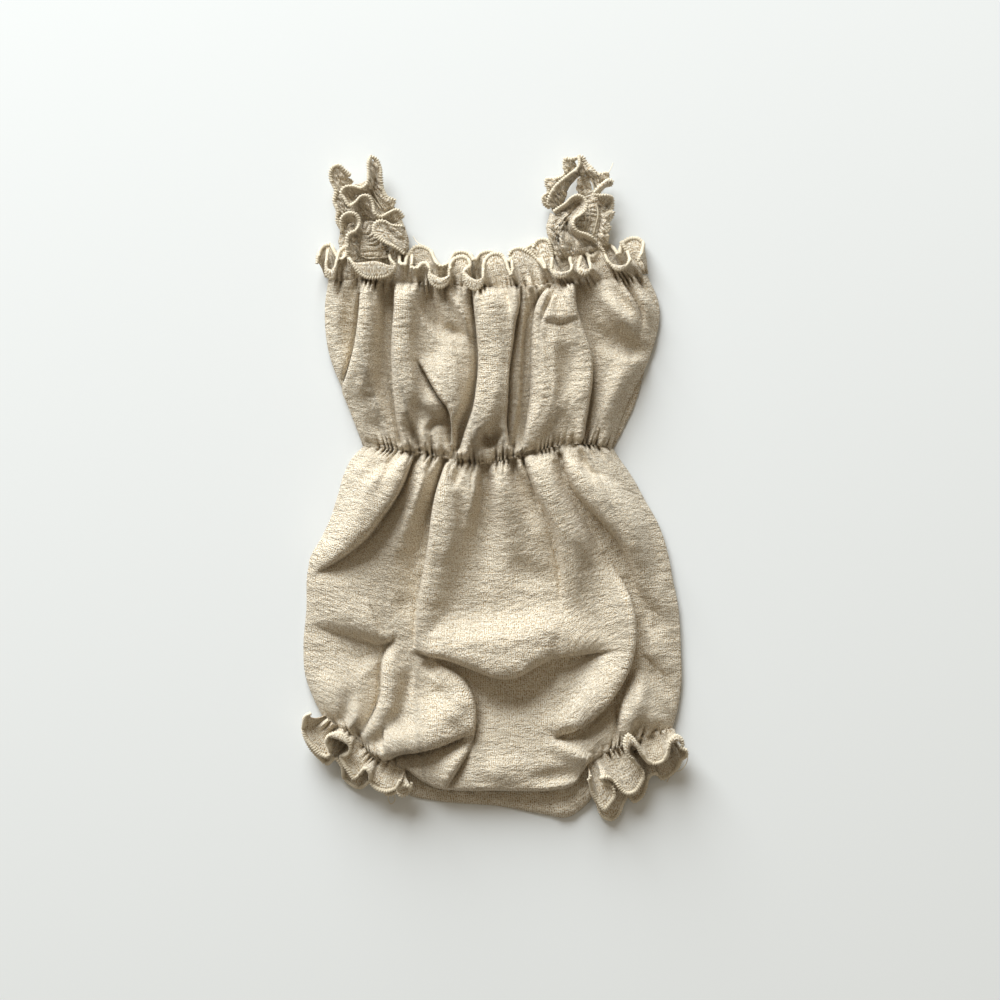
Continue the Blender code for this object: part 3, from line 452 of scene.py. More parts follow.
# Hollows, or soft ridges where the height is positive: name, then rows along them: x, y, height, and how far
# it reaches to the left and to the right.
BODICE_HOLLOWS = (
    ("trench", (
        (21.7, 123.7, -1, 5, 4), (21.1, 113.2, -3, 7, 4), (20.5, 100.8, -6, 10, 4), (19.2, 88.3, -6.5, 11, 4),
        (18.6, 69.8, -6.5, 12, 4), (17.4, 51.1, -6, 11, 4), (14.9, 38.8, -4, 8, 4), (13, 25.7, -3, 4, 5))),
    ("left_pleat", (
        (-98, 122.5, 0, 6, 7), (-97.3, 108.8, 3.5, 7, 9), (-98, 97.7, 1.5, 7, 9), (-97.3, 84, 0, 7, 9))),
    ("left_swell", (
        (-92.4, 88.3, 0, 6, 8), (-94.2, 74.1, 3, 7, 9), (-98, 61.7, 2, 6, 7), (-97.3, 54.2, 0, 6, 6))),
    ("first_low", ((-78.7, 59.2, 0, 10, 10), (-76.3, 49.3, 1.8, 12, 10), (-73.8, 39.4, 0, 10, 8))),
    ("first_pocket", ((-75, 40.6, 0, 4, 4), (-71.3, 35.6, -1.2, 4, 4), (-67.6, 29.4, -1, 3, 3))),
    ("beside_first", (
        (-68.8, 125.5, -2, 7, 5), (-67, 113.2, -4, 9, 5), (-68.2, 88.3, -2, 8, 5), (-68.8, 57.4, -1.5, 8, 5),
        (-63.9, 45, -1, 5, 4))),
    ("above_belly", (
        (-41.5, 122.5, -5, 7, 5), (-40.3, 108.8, -8, 9, 7), (-32.9, 98.9, -4, 7, 7),
        (-24.2, 95.8, -2.5, 5, 6), (-15.5, 92.7, 0, 4, 5))),
    ("neck_ridge", (
        (-30.4, 123.7, 1, 5, 4), (-24.8, 116.2, 3, 6, 5), (-19.8, 106.3, 4, 6, 6), (-15.5, 95.2, 1.5, 5, 6))),
    ("belly_swell", (
        (-29.1, 94.5, 0, 14, 9), (-27.9, 79, 3.5, 16, 12), (-25.4, 61.7, 4, 14, 11),
        (-22.9, 46.8, 1.5, 8, 7))),
    ("second_low", (
        (-56.4, 64.2, 0, 10, 10), (-45.3, 55.5, 1.8, 12, 10), (-35.3, 49.3, 3, 11, 7), (-31.6, 45, 1, 6, 5))),
    ("waist_pocket_left", ((-53.3, 43.1, -1, 3, 4), (-51.5, 35.6, -4, 4, 5), (-48.4, 27, -3, 4, 4))),
    ("waist_pocket_belly", ((-40.3, 35.6, -2, 4, 4), (-35.3, 40.6, -3.5, 5, 5), (-29.8, 43.1, -2, 5, 5))),
    ("waist_pleat_middle", ((-43.4, 41.9, 0, 4, 4), (-44, 34.4, 3, 5, 5), (-42.2, 24.5, 2, 4, 4))),
    ("waist_pocket_right", (
        (-7.4, 33.2, -2, 4, 5), (-3.7, 27.6, -6, 5, 5), (1.2, 31.3, -4, 5, 4), (4.3, 36.9, 0, 4, 4))),
    ("middle_swell", (
        (-0.6, 123.7, 1, 10, 12), (0.6, 110, 2.5, 13, 12), (-0.6, 85.2, 1.5, 12, 11), (-3.1, 54.2, 2, 12, 10),
        (-5, 41.9, 1, 10, 9))),
    ("roll_shade", (
        (40.3, 88.3, 0, 6, 6), (41.5, 77.8, -1.5, 6, 6), (40.3, 59.2, -1.5, 5, 5), (39.1, 48, 0, 5, 5))),
    ("roll_swell", (
        (51.5, 74.1, 0, 9, 7), (49, 60.5, 1.5, 12, 8), (42.2, 46.8, 2, 10, 9), (37.8, 36.9, 1, 8, 8))),
    ("shaded_right", (
        (63.9, 93.9, -2, 10, 10), (75, 89, -4, 12, 10), (86.2, 84, -5, 11, 7), (94.9, 83.4, -3, 8, 6))),
    ("right_pleat", (
        (67.6, 121.2, 1, 6, 7), (73.8, 110, 5, 8, 9), (82.5, 99.5, 4.5, 9, 8), (88, 93.9, 0, 7, 6))),
    ("outer_pleat", (
        (83.7, 123.7, 1, 5, 6), (91.8, 114.4, 4, 6, 8), (96.1, 102.6, 2, 6, 7), (97.3, 92.7, 0, 6, 6))),
    ("right_roll", (
        (97.3, 82.8, 1, 8, 11), (88, 74.7, 3, 9, 13), (78.7, 62.9, 3.5, 12, 13), (71.3, 49.3, 3, 11, 12),
        (66.3, 35.6, 2, 9, 9), (63.2, 27, 0, 6, 6))),
    ("right_low", ((73.2, 28.8, -1.5, 4, 4), (78.1, 36.9, -2, 4, 5), (82.5, 45.6, 0, 4, 5))),
)
# The pleats beside an elastic, which run together in pairs as they get off it: how many times as wide, how
# high, from how far off and to how far off.
PLEATS = ((1, 6.5, 0, 9), (2.1, 6.5, 2, 14), (4.1, 5, 6, 22))
BODICE_COLUMNS = 470
BODICE_ROWS = 100


def beside(x, y, rows):
    """For each plan point: which side of a line it is on (1 left, looking along it), how far off, the unit
    vector away from the line, and the columns of the line's table at its nearest point."""
    rows = np.array(rows, float)
    length = run_along(rows)
    share = np.linspace(0, length[-1], 9 * len(rows))
    line = np.stack([through(share, length, rows[:, k]) for k in range(rows.shape[1])], axis=-1)
    off = np.full(x.shape, np.inf)
    side = np.ones(x.shape)
    away = np.zeros(x.shape + (2,))
    columns = np.zeros(x.shape + (rows.shape[1] - 2,))
    for a, b in zip(line[:-1], line[1:]):
        run = b[:2] - a[:2]
        t = np.clip(((x - a[0]) * run[0] + (y - a[1]) * run[1]) / (run @ run), 0, 1)
        off_x = x - a[0] - t * run[0]
        off_y = y - a[1] - t * run[1]
        distance = np.hypot(off_x, off_y)
        closer = distance < off
        off = np.where(closer, distance, off)
        side = np.where(closer, np.where(run[0] * off_y - run[1] * off_x > 0, 1, -1), side)
        away = np.where(closer[..., None], np.stack([off_x, off_y], axis=-1), away)
        columns = np.where(closer[..., None], a[2:] + t[..., None] * (b[2:] - a[2:]), columns)
    return side, off, away / np.maximum(off, 1e-6)[..., None], columns


def creased(x, y, creases, hollows):
    """Height of the folds at each plan point and how far they move it. The upper side of a crease rises from
    it as a quarter circle, hangs over it by a half sine, stays level and fades as a smooth step. The lower
    side fades as the power 1.5 of what is left of its reach, and a narrow groove marks the crease. Where such
    sides meet, they add up as the root of the sum of squares. A hollow is the square of a cosine."""
    high = np.zeros(x.shape)
    low = np.zeros(x.shape)
    groove = np.zeros(x.shape)
    moved = np.zeros(x.shape + (2,))
    for _, upper, hang, edge, level, rows in creases:
        side, off, away, columns = beside(x, y, rows)
        up, over, down, under = np.moveaxis(columns, -1, 0)
        on_top = side == upper
        q = np.clip(off / edge, 0, 1)
        faded = 1 - ease((off / over - level) / (1 - level))
        high += np.where(on_top, up * rounded(q) * faded, 0) ** 2
        low += (down * np.where(on_top, (1 - q) ** 3, np.clip(1 - off / under, 0, 1) ** 1.5)) ** 2
        strong = np.clip((up + down) / 10, 0, 1)
        groove = np.maximum(groove, strong * np.clip(1 - off / np.where(on_top, 1.2, 2.6), 0, 1))
        hung = np.where(on_top, -hang * np.sin(np.pi * q), 0) * np.clip((up + down) / 8, 0, 1)
        moved += away * hung[..., None]
    height = np.sqrt(high) - np.sqrt(low) - GROOVE * groove
    for _, rows in hollows:
        side, off, away, columns = beside(x, y, rows)
        deep, left, right = np.moveaxis(columns, -1, 0)
        reach = np.where(side > 0, left, right)
        height += deep * np.cos(np.pi / 2 * np.clip(off / reach, 0, 1)) ** 2
    return height, moved


def gathers(seam, off, pitch, seed):
    """Height of the small pleats beside an elastic: rounded ridges with sharp valleys, the power 0.55 of a
    sine, pitch apart along the seam and uneven, which die out as they get off it."""
    chance = np.random.default_rng(seed)
    a, b, c = chance.uniform(0, 6, 3)
    at = seam / pitch + 0.35 * np.sin(seam / (1.7 * pitch) + a) + 0.3 * np.sin(seam / (0.73 * pitch) + b)
    total = np.zeros(np.broadcast(seam, off).shape)
    for wider, high, start, end in PLEATS:
        ridge = np.abs(np.sin(np.pi * at / wider + c * wider)) ** 0.55 - 0.7
        share = 0.7 + 0.6 * np.sin(seam / (1.3 * pitch * wider) + b + wider)
        grown = ease((off + 1) / (start + 1)) if start else 1
        total = total + high * ridge * share * ease(1 - off / end) * grown
    return total


def crowded(count, *places):
    """Shares from 0 to 1, closer together about these places: share, how many times closer, and over what
    share."""
    t = np.linspace(0, 1, 2000)
    step = 1 / (1 + sum(times * np.exp(-(((t - place) / wide) ** 2)) for place, times, wide in places))
    grown = np.concatenate([[0], np.cumsum((1 / step[1:] + 1 / step[:-1]) / 2)])
    return np.interp(np.linspace(0, 1, count), grown / grown[-1], t)


def turned_under(edge, way, inwards=3.0, count=4):
    """Rows of points from a side edge inwards and down to the panel below, through a quarter turn."""
    turn = np.linspace(0, np.pi / 2, count + 1)[1:, None]
    x = edge[:, 0] + way * inwards * (1 - np.cos(turn))
    z = edge[:, 2] - (edge[:, 2] - FRONT_LOW) * np.sin(turn)
    return np.stack([x, edge[:, 1] + 0 * turn, z], axis=-1).transpose(1, 0, 2)


def tucked_sides(rows):
    """The same panel with both its sides turned under."""
    return np.concatenate([turned_under(rows[:, 0], 1)[:, ::-1], rows, turned_under(rows[:, -1], -1)], axis=1)


def brought_down(z, off, low, wide, power=0.5):
    """Heights that come down to low at an edge, over this width, as this power of one less the square of what
    is left of it: 0.5 is a quarter circle."""
    return low + (z - low) * (1 - (1 - np.clip(off / wide, 0, 1)) ** 2) ** power


def uneven(along_it, pitch, height):
    """Sum of two sines of unlike lengths."""
    return height * (0.6 * np.sin(along_it / pitch + 1) + 0.4 * np.sin(along_it / (0.44 * pitch)))


def bodice(u, v):
    """Points of the bodice front: u runs from its left side to its right, v from the neck to the waist. It is
    level with its folds on it, comes down to the elastics and the sides, and has pleats beside the
    elastics."""
    left = levels(BODICE_LEFT, v)
    width = levels(BODICE_RIGHT, v) - left
    x = left + u * width
    top = neck_y(x)
    bottom = waist_y(x)
    y = top + v * (bottom - top)
    from_neck = top - y
    from_waist = y - bottom
    to_side = np.minimum(u, 1 - u) * width
    free = ease((from_neck + 2) / 16) * ease((from_waist + 1) / 20)
    height, moved = creased(x, y, BODICE_CREASES, BODICE_HOLLOWS)
    z = BODICE_Z + BODICE_FOLDS * height
    z -= 0.5 * np.maximum(z - BODICE_CREST, 0)
    z = brought_down(z, from_neck - 0.5 - uneven(x, 5.1, 1.2), NECK_Z, 10)
    z = brought_down(z, from_waist - 2 - uneven(x, 6.1, 1.6), WAIST_Z, 6)
    z = brought_down(z, to_side, SIDE_Z, BODICE_SIDE_ROUND, 0.8)
    neck_x = BODICE_LEFT[0] + u * (BODICE_RIGHT[0] - BODICE_LEFT[0])
    pleats = NECK_PLEATS * gathers(neck_x, from_neck, NECK_PITCH, 4)
    pleats += WAIST_PLEATS * gathers(waist_x(u), from_waist, WAIST_PITCH, 5)
    z += pleats * ease(to_side / 6)
    z += (0.25 * ripples(x, y, 16, 30, 6) + 0.14 * ripples(x, y, 22, 5, 8)) * free
    z += 0.12 * ripples(x, y, 8, 3.2, 7)
    z = np.maximum(z, FRONT_LOW + 0.4)
    return np.stack([x + moved[..., 0] * free, y + moved[..., 1] * free, z], axis=-1)


u, v = np.meshgrid(np.linspace(0, 1, BODICE_COLUMNS), crowded(BODICE_ROWS, (0, 1.5, 0.12), (1, 1.5, 0.12)))
front_bodice = cloth("front_bodice_panel", tucked_sides(bodice(u, v)))
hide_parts("front_bodice", "waist_band")

# ---- Front of the bloomers ----
# One full panel of gauze from the waist elastic to the crotch and the leg openings. It puffs up, and its
# fullness falls in long creases from the waist and in one deep fold across the belly.
BLOOMER_FOLDS = 1.4
BLOOMER_CREST = 24
BLOOMER_LENGTH = 205
BLOOMER_SIDE_ROUND = 26
HEM_ROUND = 3.5
HEM_Z = 4.6
LEG_ROUND = 14
LEG_Z = 10.5
LEG_PITCH = 3.6
LEG_PLEATS = 1.2
LEFT_LEG_END = 0.27
RIGHT_LEG_START = 0.745
FRONT_HEM = (
    (-104.8, -145.4), (-86.8, -153.4), (-72.5, -166.5), (-55.8, -173.9), (-46.5, -180.7), (-36.6, -185.7),
    (-26.7, -187.2), (3.1, -187.6), (16.7, -187.9), (34.1, -187.6), (47.1, -185.1), (57.7, -171.4),
    (67.6, -164), (81.8, -159), (96.7, -153.4), (109.1, -152.2),
)
# The columns of both tables are those of the bodice's.
BLOOMER_CREASES = (
    ("tube", -1, 2, 9, 0.35, (
        (-49.6, 19.5, 3, 8, 7, 6), (-52.1, 12.7, 6, 14, 8, 9), (-55.8, 2.8, 9, 22, 7, 12),
        (-60.8, -7.1, 10, 28, 7, 16), (-68.2, -17.7, 10, 30, 7, 20), (-78.1, -30.7, 9, 30, 6, 22),
        (-90.5, -41.2, 8, 26, 5, 20), (-103.5, -49.3, 5, 20, 3, 14), (-114.1, -54.9, 0, 12, 0, 8))),
    ("left", 1, 1.4, 7, 0.35, (
        (-29.8, 18.3, 3, 8, 7, 5), (-33.5, 7.8, 5, 12, 8, 8), (-37.2, -4.7, 7, 18, 8, 12),
        (-39.7, -17.1, 8, 24, 10, 16), (-41.5, -32.5, 8, 27, 10, 20), (-44, -46.2, 7, 27, 10, 21),
        (-46.5, -60.5, 6, 25, 8, 20), (-48.4, -72.8, 4, 22, 5, 17), (-49.6, -88.3, 2, 18, 2, 10),
        (-50.2, -100.8, 0, 14, 0, 8))),
    ("right", 1, 1.4, 8, 0.4, (
        (17.4, 18.3, 4, 10, 4, 5), (21.7, 4.7, 7, 17, 6, 8), (26, -6.5, 8, 22, 7, 11),
        (31, -17.1, 8, 24, 7, 13), (35.3, -27.6, 7, 25, 6, 14), (38.4, -40, 6, 25, 5, 14),
        (40.3, -54.2, 4, 22, 3, 12), (40.3, -69.8, 1, 18, 1, 10), (40.3, -82.2, 0, 14, 0, 8))),
    ("side_right", 1, 1.6, 9, 0.4, (
        (40.9, 19.5, 3, 8, 9, 6), (42.8, 10.8, 8, 14, 12, 9), (47.1, -0.9, 11, 20, 15, 13),
        (55.2, -11.5, 13, 26, 16, 16), (65.1, -22, 13, 28, 15, 19), (73.8, -31.9, 12, 26, 13, 20),
        (80, -42.5, 9, 22, 10, 19), (84.9, -54.9, 5, 18, 6, 16), (88.7, -68.5, 2, 14, 2, 10),
        (91.1, -82.2, 0, 10, 0, 8))),
    ("belly", 1, 3, 12, 0.2, (
        (-51.5, -100.8, 0, 14, 0, 8), (-41.5, -104.5, 5, 26, 4, 10), (-31, -107, 8, 34, 6, 14),
        (-18.6, -111.3, 11, 42, 7, 18), (-6.2, -116.2, 13, 48, 8, 24), (3.1, -118.7, 14, 50, 8, 26),
        (14.3, -117.5, 13, 50, 8, 26), (24.8, -111.9, 11, 46, 7, 24), (34.1, -107, 9, 42, 5, 24),
        (46.5, -104.5, 7, 36, 3, 22), (62, -102.6, 4, 28, 2, 18), (80, -99.5, 0, 18, 0, 10))),
    ("right_lobe", -1, 2.4, 4, 0, (
        (71.9, -45, 0, 10, 0, 8), (77.5, -56.1, 3, 18, 3, 10), (82.5, -67.3, 6, 24, 5, 10),
        (85.6, -79, 8, 28, 6, 11), (86.2, -94.5, 9, 28, 7, 11), (83.7, -107.6, 9, 28, 7, 12),
        (78.7, -119.3, 9, 30, 7, 14), (71.3, -130.5, 9, 30, 7, 15), (62, -140.4, 8, 26, 7, 14),
        (51.5, -148.5, 6, 20, 7, 12), (41.5, -152.8, 3, 12, 4, 8), (34.7, -154.7, 0, 8, 0, 7))),
    ("bulge", -1, 1.6, 5, 0.2, (
        (-41.5, -104.5, 0, 10, 0, 8), (-32.9, -109.4, 4, 16, 4, 9), (-22.9, -115, 6, 22, 5, 10),
        (-15.5, -123.7, 7, 24, 4, 10), (-11.8, -134.8, 7, 26, 3.5, 12), (-11.8, -146.6, 7, 24, 3, 11),
        (-13, -154.1, 4, 16, 2, 9), (-15.5, -161.5, 0, 10, 0, 7))),
    ("under_bulge", 1, 2, 9, 0.3, (
        (-84.9, -157.8, 0, 8, 0, 6), (-76.3, -165.8, 4, 14, 4, 8), (-67.6, -168.9, 7, 20, 5, 8),
        (-58.9, -165.2, 9, 24, 6, 9), (-46.5, -163.4, 10, 26, 6, 10), (-34.1, -160.3, 9, 26, 5, 10),
        (-22.9, -155.9, 6, 20, 4, 9), (-11.8, -150.3, 0, 12, 0, 7))),
    ("arch", 1, 0.5, 26, 0.1, (
        (-115.9, -83.4, 0, 30, 0, 24), (-107.3, -87.1, 1, 36, 2, 30), (-94.9, -92.1, 4, 36, 5, 30),
        (-80.6, -97, 7, 32, 8, 24), (-70.1, -98.3, 7, 24, 6, 12), (-63.9, -95.2, 3, 16, 2, 8),
        (-60.1, -90.2, 0, 12, 0, 6))),
    ("arch_side", 1, 0.8, 5, 0.4, (
        (-65.7, -96.4, 0, 8, 0, 6), (-69.4, -104.5, 4, 14, 3, 9), (-70.7, -116.2, 6, 17, 4, 12),
        (-71.3, -128.7, 6, 17, 4, 13), (-75, -139.2, 5, 15, 4, 11), (-80, -147.9, 3, 12, 3, 9),
        (-85.6, -155.3, 0, 8, 0, 6))),
    ("right_leg", 1, 0.8, 6, 0.4, (
        (86.8, -109.4, 0, 10, 0, 7), (81.8, -120.6, 5, 17, 3, 10), (77.5, -131.8, 6, 19, 4, 12),
        (75.6, -144.2, 5, 17, 4, 10), (75, -159, 1, 12, 1, 7))),
    ("lower_left", -1, 0.8, 6, 0.2, (
        (-13, -157.8, 0, 9, 0, 6), (-19.2, -168.9, 4, 16, 3, 9), (-25.4, -178.9, 4, 15, 2.5, 8),
        (-30.4, -186.9, 0, 12, 0, 7))),
)
BLOOMER_HOLLOWS = (
    ("tube_pleat", (
        (-62.6, 19.5, -3, 4, 4), (-65.1, 10.8, -4, 5, 5), (-70.1, -0.3, -3.5, 6, 6),
        (-78.7, -11.5, 0, 6, 6))),
    ("tube_swell", (
        (-80, 18.3, 1, 8, 8), (-84.9, 7.8, 3, 12, 9), (-92.4, -7.8, 2, 12, 10), (-101.1, -26.4, 0, 10, 10))),
    ("second_crest", (
        (-44, 10.8, 2, 5, 5), (-45.9, -1.6, 3.5, 8, 7), (-51.5, -17.1, 3, 10, 9), (-57.7, -32.5, 2, 12, 12),
        (-63.9, -45, 0, 12, 12))),
    ("left_crest", (
        (-26.7, -1.6, 2, 7, 9), (-27.9, -17.1, 3, 9, 12), (-30.4, -32.5, 2, 9, 14), (-32.9, -48, 0, 9, 12))),
    ("small_pleat", ((-20.5, 18.3, -6, 4, 4), (-23.6, 6.5, -4, 4, 5), (-28.5, -2.8, 0, 4, 5))),
    ("first_pleat", ((-29.8, 17.1, -2, 3, 4), (-34.1, 7.1, -1, 3, 4))),
    ("middle_valley", (
        (-6.2, 18.3, -10, 5, 5), (-6.2, 7.8, -12, 7, 6), (-6.2, -5.9, -12, 9, 8), (-7.4, -20.1, -10, 14, 11),
        (-8.7, -35.6, -7, 18, 15), (-9.9, -51.1, -3, 20, 16), (-10.5, -64.8, 0, 16, 14))),
    ("middle_crest", (
        (3.1, 14.6, 3, 5, 6), (4.3, 1.6, 4, 8, 9), (8.1, -13.9, 3, 11, 12), (10.5, -32.5, 1, 12, 12),
        (11.8, -45, 0, 10, 10))),
    ("third_pleat", (
        (10.5, 18.3, -8, 4, 4), (13, 7.8, -9, 5, 5), (17.4, -3.4, -7, 7, 7), (22.9, -15.2, -4, 9, 8),
        (27.9, -26.4, 0, 8, 8))),
    ("right_crest", (
        (31, 15.8, 2, 6, 7), (36, 2.2, 3, 8, 8), (45.3, -15.2, 3, 12, 10), (55.2, -32.5, 3, 14, 12),
        (60.1, -46.2, 0, 12, 12))),
    ("side_pleat", (
        (52.7, 20.8, -3, 4, 4), (55.2, 13.3, -4, 4, 5), (60.8, 4.7, -2, 5, 5), (65.1, -1.6, 0, 5, 5))),
    ("mid_shade", (
        (8.1, -45, 0, 12, 12), (18.6, -52.4, -2.5, 12, 12), (34.1, -56.1, -1, 10, 10),
        (41.5, -57.4, 0, 8, 8))),
    ("left_dip", ((-63.9, -69.8, 0, 10, 12), (-57, -72.8, -2, 10, 12), (-51.5, -80.9, 0, 8, 8))),
    ("belly_crest", (
        (-24.8, -92.1, 0, 12, 8), (-6.2, -94.5, 1.5, 16, 8), (15.5, -90.8, 2, 16, 9),
        (35.3, -87.1, 1.5, 14, 9), (49.6, -85.2, 0, 10, 8))),
    ("belly_seam", (
        (40.3, -80.9, 0, 3, 3), (37.8, -94.5, -0.8, 6, 5), (33.5, -107, -1, 6, 5), (32.9, -122.5, -0.6, 4, 4),
        (33.5, -134.8, 0, 3, 3))),
    ("dent", ((-44, -107, 0, 6, 6), (-39.7, -111.3, -4.5, 6, 6), (-35.3, -115.6, -1, 6, 6))),
    ("bulge_crest", (
        (-57.7, -131.8, 0, 10, 10), (-45.3, -137.9, 4, 14, 14), (-30.4, -139.2, 5, 14, 12),
        (-20.5, -135.5, 2, 12, 8))),
    ("shallow_leg", (
        (-52.7, -109.4, 0, 5, 6), (-53.9, -120.6, -2.5, 5, 7), (-57, -134.8, -2, 4, 6),
        (-60.1, -146.6, 0, 4, 5))),
    ("under_belly", (
        (-20.5, -125.5, 0, 10, 16), (-1.9, -131.8, -2.5, 12, 22), (15.5, -129.3, -2, 12, 22),
        (40.3, -119.3, 0, 10, 16))),
    ("lobe_swell", (
        (49.6, -119.3, 0, 10, 10), (58.9, -125.5, 2.5, 12, 10), (49.6, -136.7, 2.5, 12, 10),
        (35.3, -145.4, 2, 12, 10), (24.8, -150.3, 0, 10, 10))),
    ("lobe_pocket", ((36.6, -152.2, -1, 5, 5), (44.6, -151.6, -5, 6, 7), (53.9, -150.3, -2, 6, 6))),
    ("lower_ridge", (
        (31, -154.7, 0, 5, 8), (40.3, -159, 3, 5, 9), (53.9, -165.8, 4, 5, 10), (66.3, -172.7, 0, 5, 8))),
    ("crotch_swell", (
        (-9.3, -168.9, 0, 12, 12), (3.1, -173.9, 2.5, 14, 12), (15.5, -172.7, 1, 12, 12),
        (25.4, -171.4, 0, 10, 10))),
    ("crotch_dip", (
        (20.5, -180.1, 0, 6, 6), (34.1, -177.6, -2.5, 7, 7), (46.5, -176.4, -2, 6, 7),
        (55.2, -178.2, 0, 5, 6))),
    ("left_leg", (
        (-109.7, -114.4, 0, 10, 10), (-103.5, -125.5, 3, 14, 12), (-99.8, -137.9, 2, 10, 10),
        (-98.6, -145.4, 0, 8, 8))),
    ("left_leg_pleat", ((-88.7, -131.8, 0, 5, 5), (-84.9, -140.4, 3.5, 5, 6), (-89.9, -149.1, 2, 4, 5))),
    ("left_leg_dip", (
        (-92.4, -125.5, 0, 6, 6), (-91.1, -135.5, -2, 6, 6), (-96.1, -144.2, -2, 5, 5),
        (-101.1, -147.9, 0, 4, 4))),
    ("right_leg_valley", (
        (83.7, -104.5, 0, 4, 5), (91.8, -108.2, -4, 6, 8), (99.8, -115, -4, 6, 8), (107.3, -125.5, -3, 6, 7),
        (112.2, -134.2, 0, 5, 5))),
    ("right_leg_swell", (
        (91.1, -120.6, 0, 8, 8), (92.4, -134.8, 3.5, 10, 10), (98.6, -145.4, 3, 9, 9),
        (102.3, -150.3, 1, 6, 6))),
    ("right_leg_pleat", ((89.9, -141.1, 0, 4, 4), (86.2, -150.3, -3, 4, 4), (84.9, -156.6, -2, 3, 3))),
    ("right_knee", (
        (82.5, -60.5, -2, 8, 8), (93, -72.2, -3, 8, 10), (99.8, -83.4, -3, 8, 9), (107.3, -87.1, 0, 6, 6))),
    ("right_puff", (
        (107.3, -51.1, 0, 8, 10), (102.3, -64.8, 3, 9, 9), (106.6, -74.7, 2, 9, 8), (109.7, -83.4, 0, 6, 6))),
    ("right_puff_low", (
        (99.2, -88.3, 0, 8, 10), (100.4, -98.3, 3, 9, 10), (106, -107, 2, 9, 9), (111, -116.9, 0, 7, 7))),
)
# The height of the puff below its folds: the share of the way from the waist to the hem, and the height.
BLOOMER_PUFF = (
    (0, 13), (0.04, 15), (0.09, 17), (0.2, 15), (0.4, 10.5), (0.52, 10.5), (0.66, 9), (0.8, 10.5),
    (0.93, 14.5), (1, 14),
)
BLOOMER_COLUMNS = 372
BLOOMER_ROWS = 131


def bloomer(u, v):
    """Points of the bloomer front: u runs from left side seam to right, v from the waist to the lower edge.
    Its puff and folds come down to the waist, the hem, the higher leg elastics and the sides, with pleats
    beside the elastics."""
    plan = bloomer_plan(FRONT_HEM, 0, u, v)
    x = plan[..., 0]
    y = plan[..., 1]
    below = (v * BLOOMER_LENGTH)[:, None]
    to_hem = ((1 - v) * BLOOMER_LENGTH)[:, None] + 0 * x
    to_side = np.minimum(u, 1 - u)[None, :] * (x[:, -1:] - x[:, :1])
    beside_edge = ease(to_side / 6)
    at_leg = ease((LEFT_LEG_END - u) / 0.04) + ease((u - RIGHT_LEG_START) / 0.03)
    free = rounded((below - 2.2 - uneven(x, 5.3, 1.2)) / 7)
    share, puff = np.array(BLOOMER_PUFF).T
    height, moved = creased(x, y, BLOOMER_CREASES, BLOOMER_HOLLOWS)
    z = WAIST_Z + (through(v, share, puff)[:, None] - WAIST_Z) * free
    z = z + BLOOMER_FOLDS * height * rounded((below - 0.5) / 5)
    low = HEM_Z + (LEG_Z - HEM_Z) * at_leg
    z = brought_down(z, to_hem, low, HEM_ROUND + (LEG_ROUND - HEM_ROUND) * at_leg, 0.5 + 0.4 * at_leg)
    z += LEG_PLEATS * gathers(plan[-1:, :, 0], to_hem, LEG_PITCH, 4) * at_leg * beside_edge
    z = brought_down(z, to_side, SIDE_Z, BLOOMER_SIDE_ROUND, 0.8)
    z += WAIST_PLEATS * gathers(waist_x(u)[None, :], below, WAIST_PITCH, 5) * beside_edge
    z -= 0.55 * np.maximum(z - BLOOMER_CREST, 0)
    z += (0.12 * ripples(x, y, 8, 3.4, 9) + 0.16 * ripples(x, y, 26, 6, 10)) * ease(to_hem / 4)
    z = np.maximum(z, FRONT_LOW + 0.4)
    return np.stack([x + moved[..., 0] * free, y + moved[..., 1] * free, z], axis=-1)


u = np.linspace(0, 1, BLOOMER_COLUMNS)
v = crowded(BLOOMER_ROWS, (0, 1.2, 0.1), (0.62, 0.6, 0.12), (1, 1.0, 0.06))
front_bloomer = cloth("front_bloomer_panel", tucked_sides(bloomer(u, v)))
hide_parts("front_bloomer")

# ---- Ruffle at the front of the neck ----
# The cloth above the neck elastic, nearly twice as long at its edge as the line that it is gathered to. It
# stands up, and its edge, overlocked in cream thread, curls forward over the elastic and back again.
RUFFLE_WALL = 0.7
RUFFLE_PLEATS = 1.5
RUFFLE_ROWS = 22
RUFFLE_STEP = 0.75
RUFFLE_RISE = 0.62
EVEN_OVER = 6
NECK_REACH = 19
FOOT_POINTS = 40
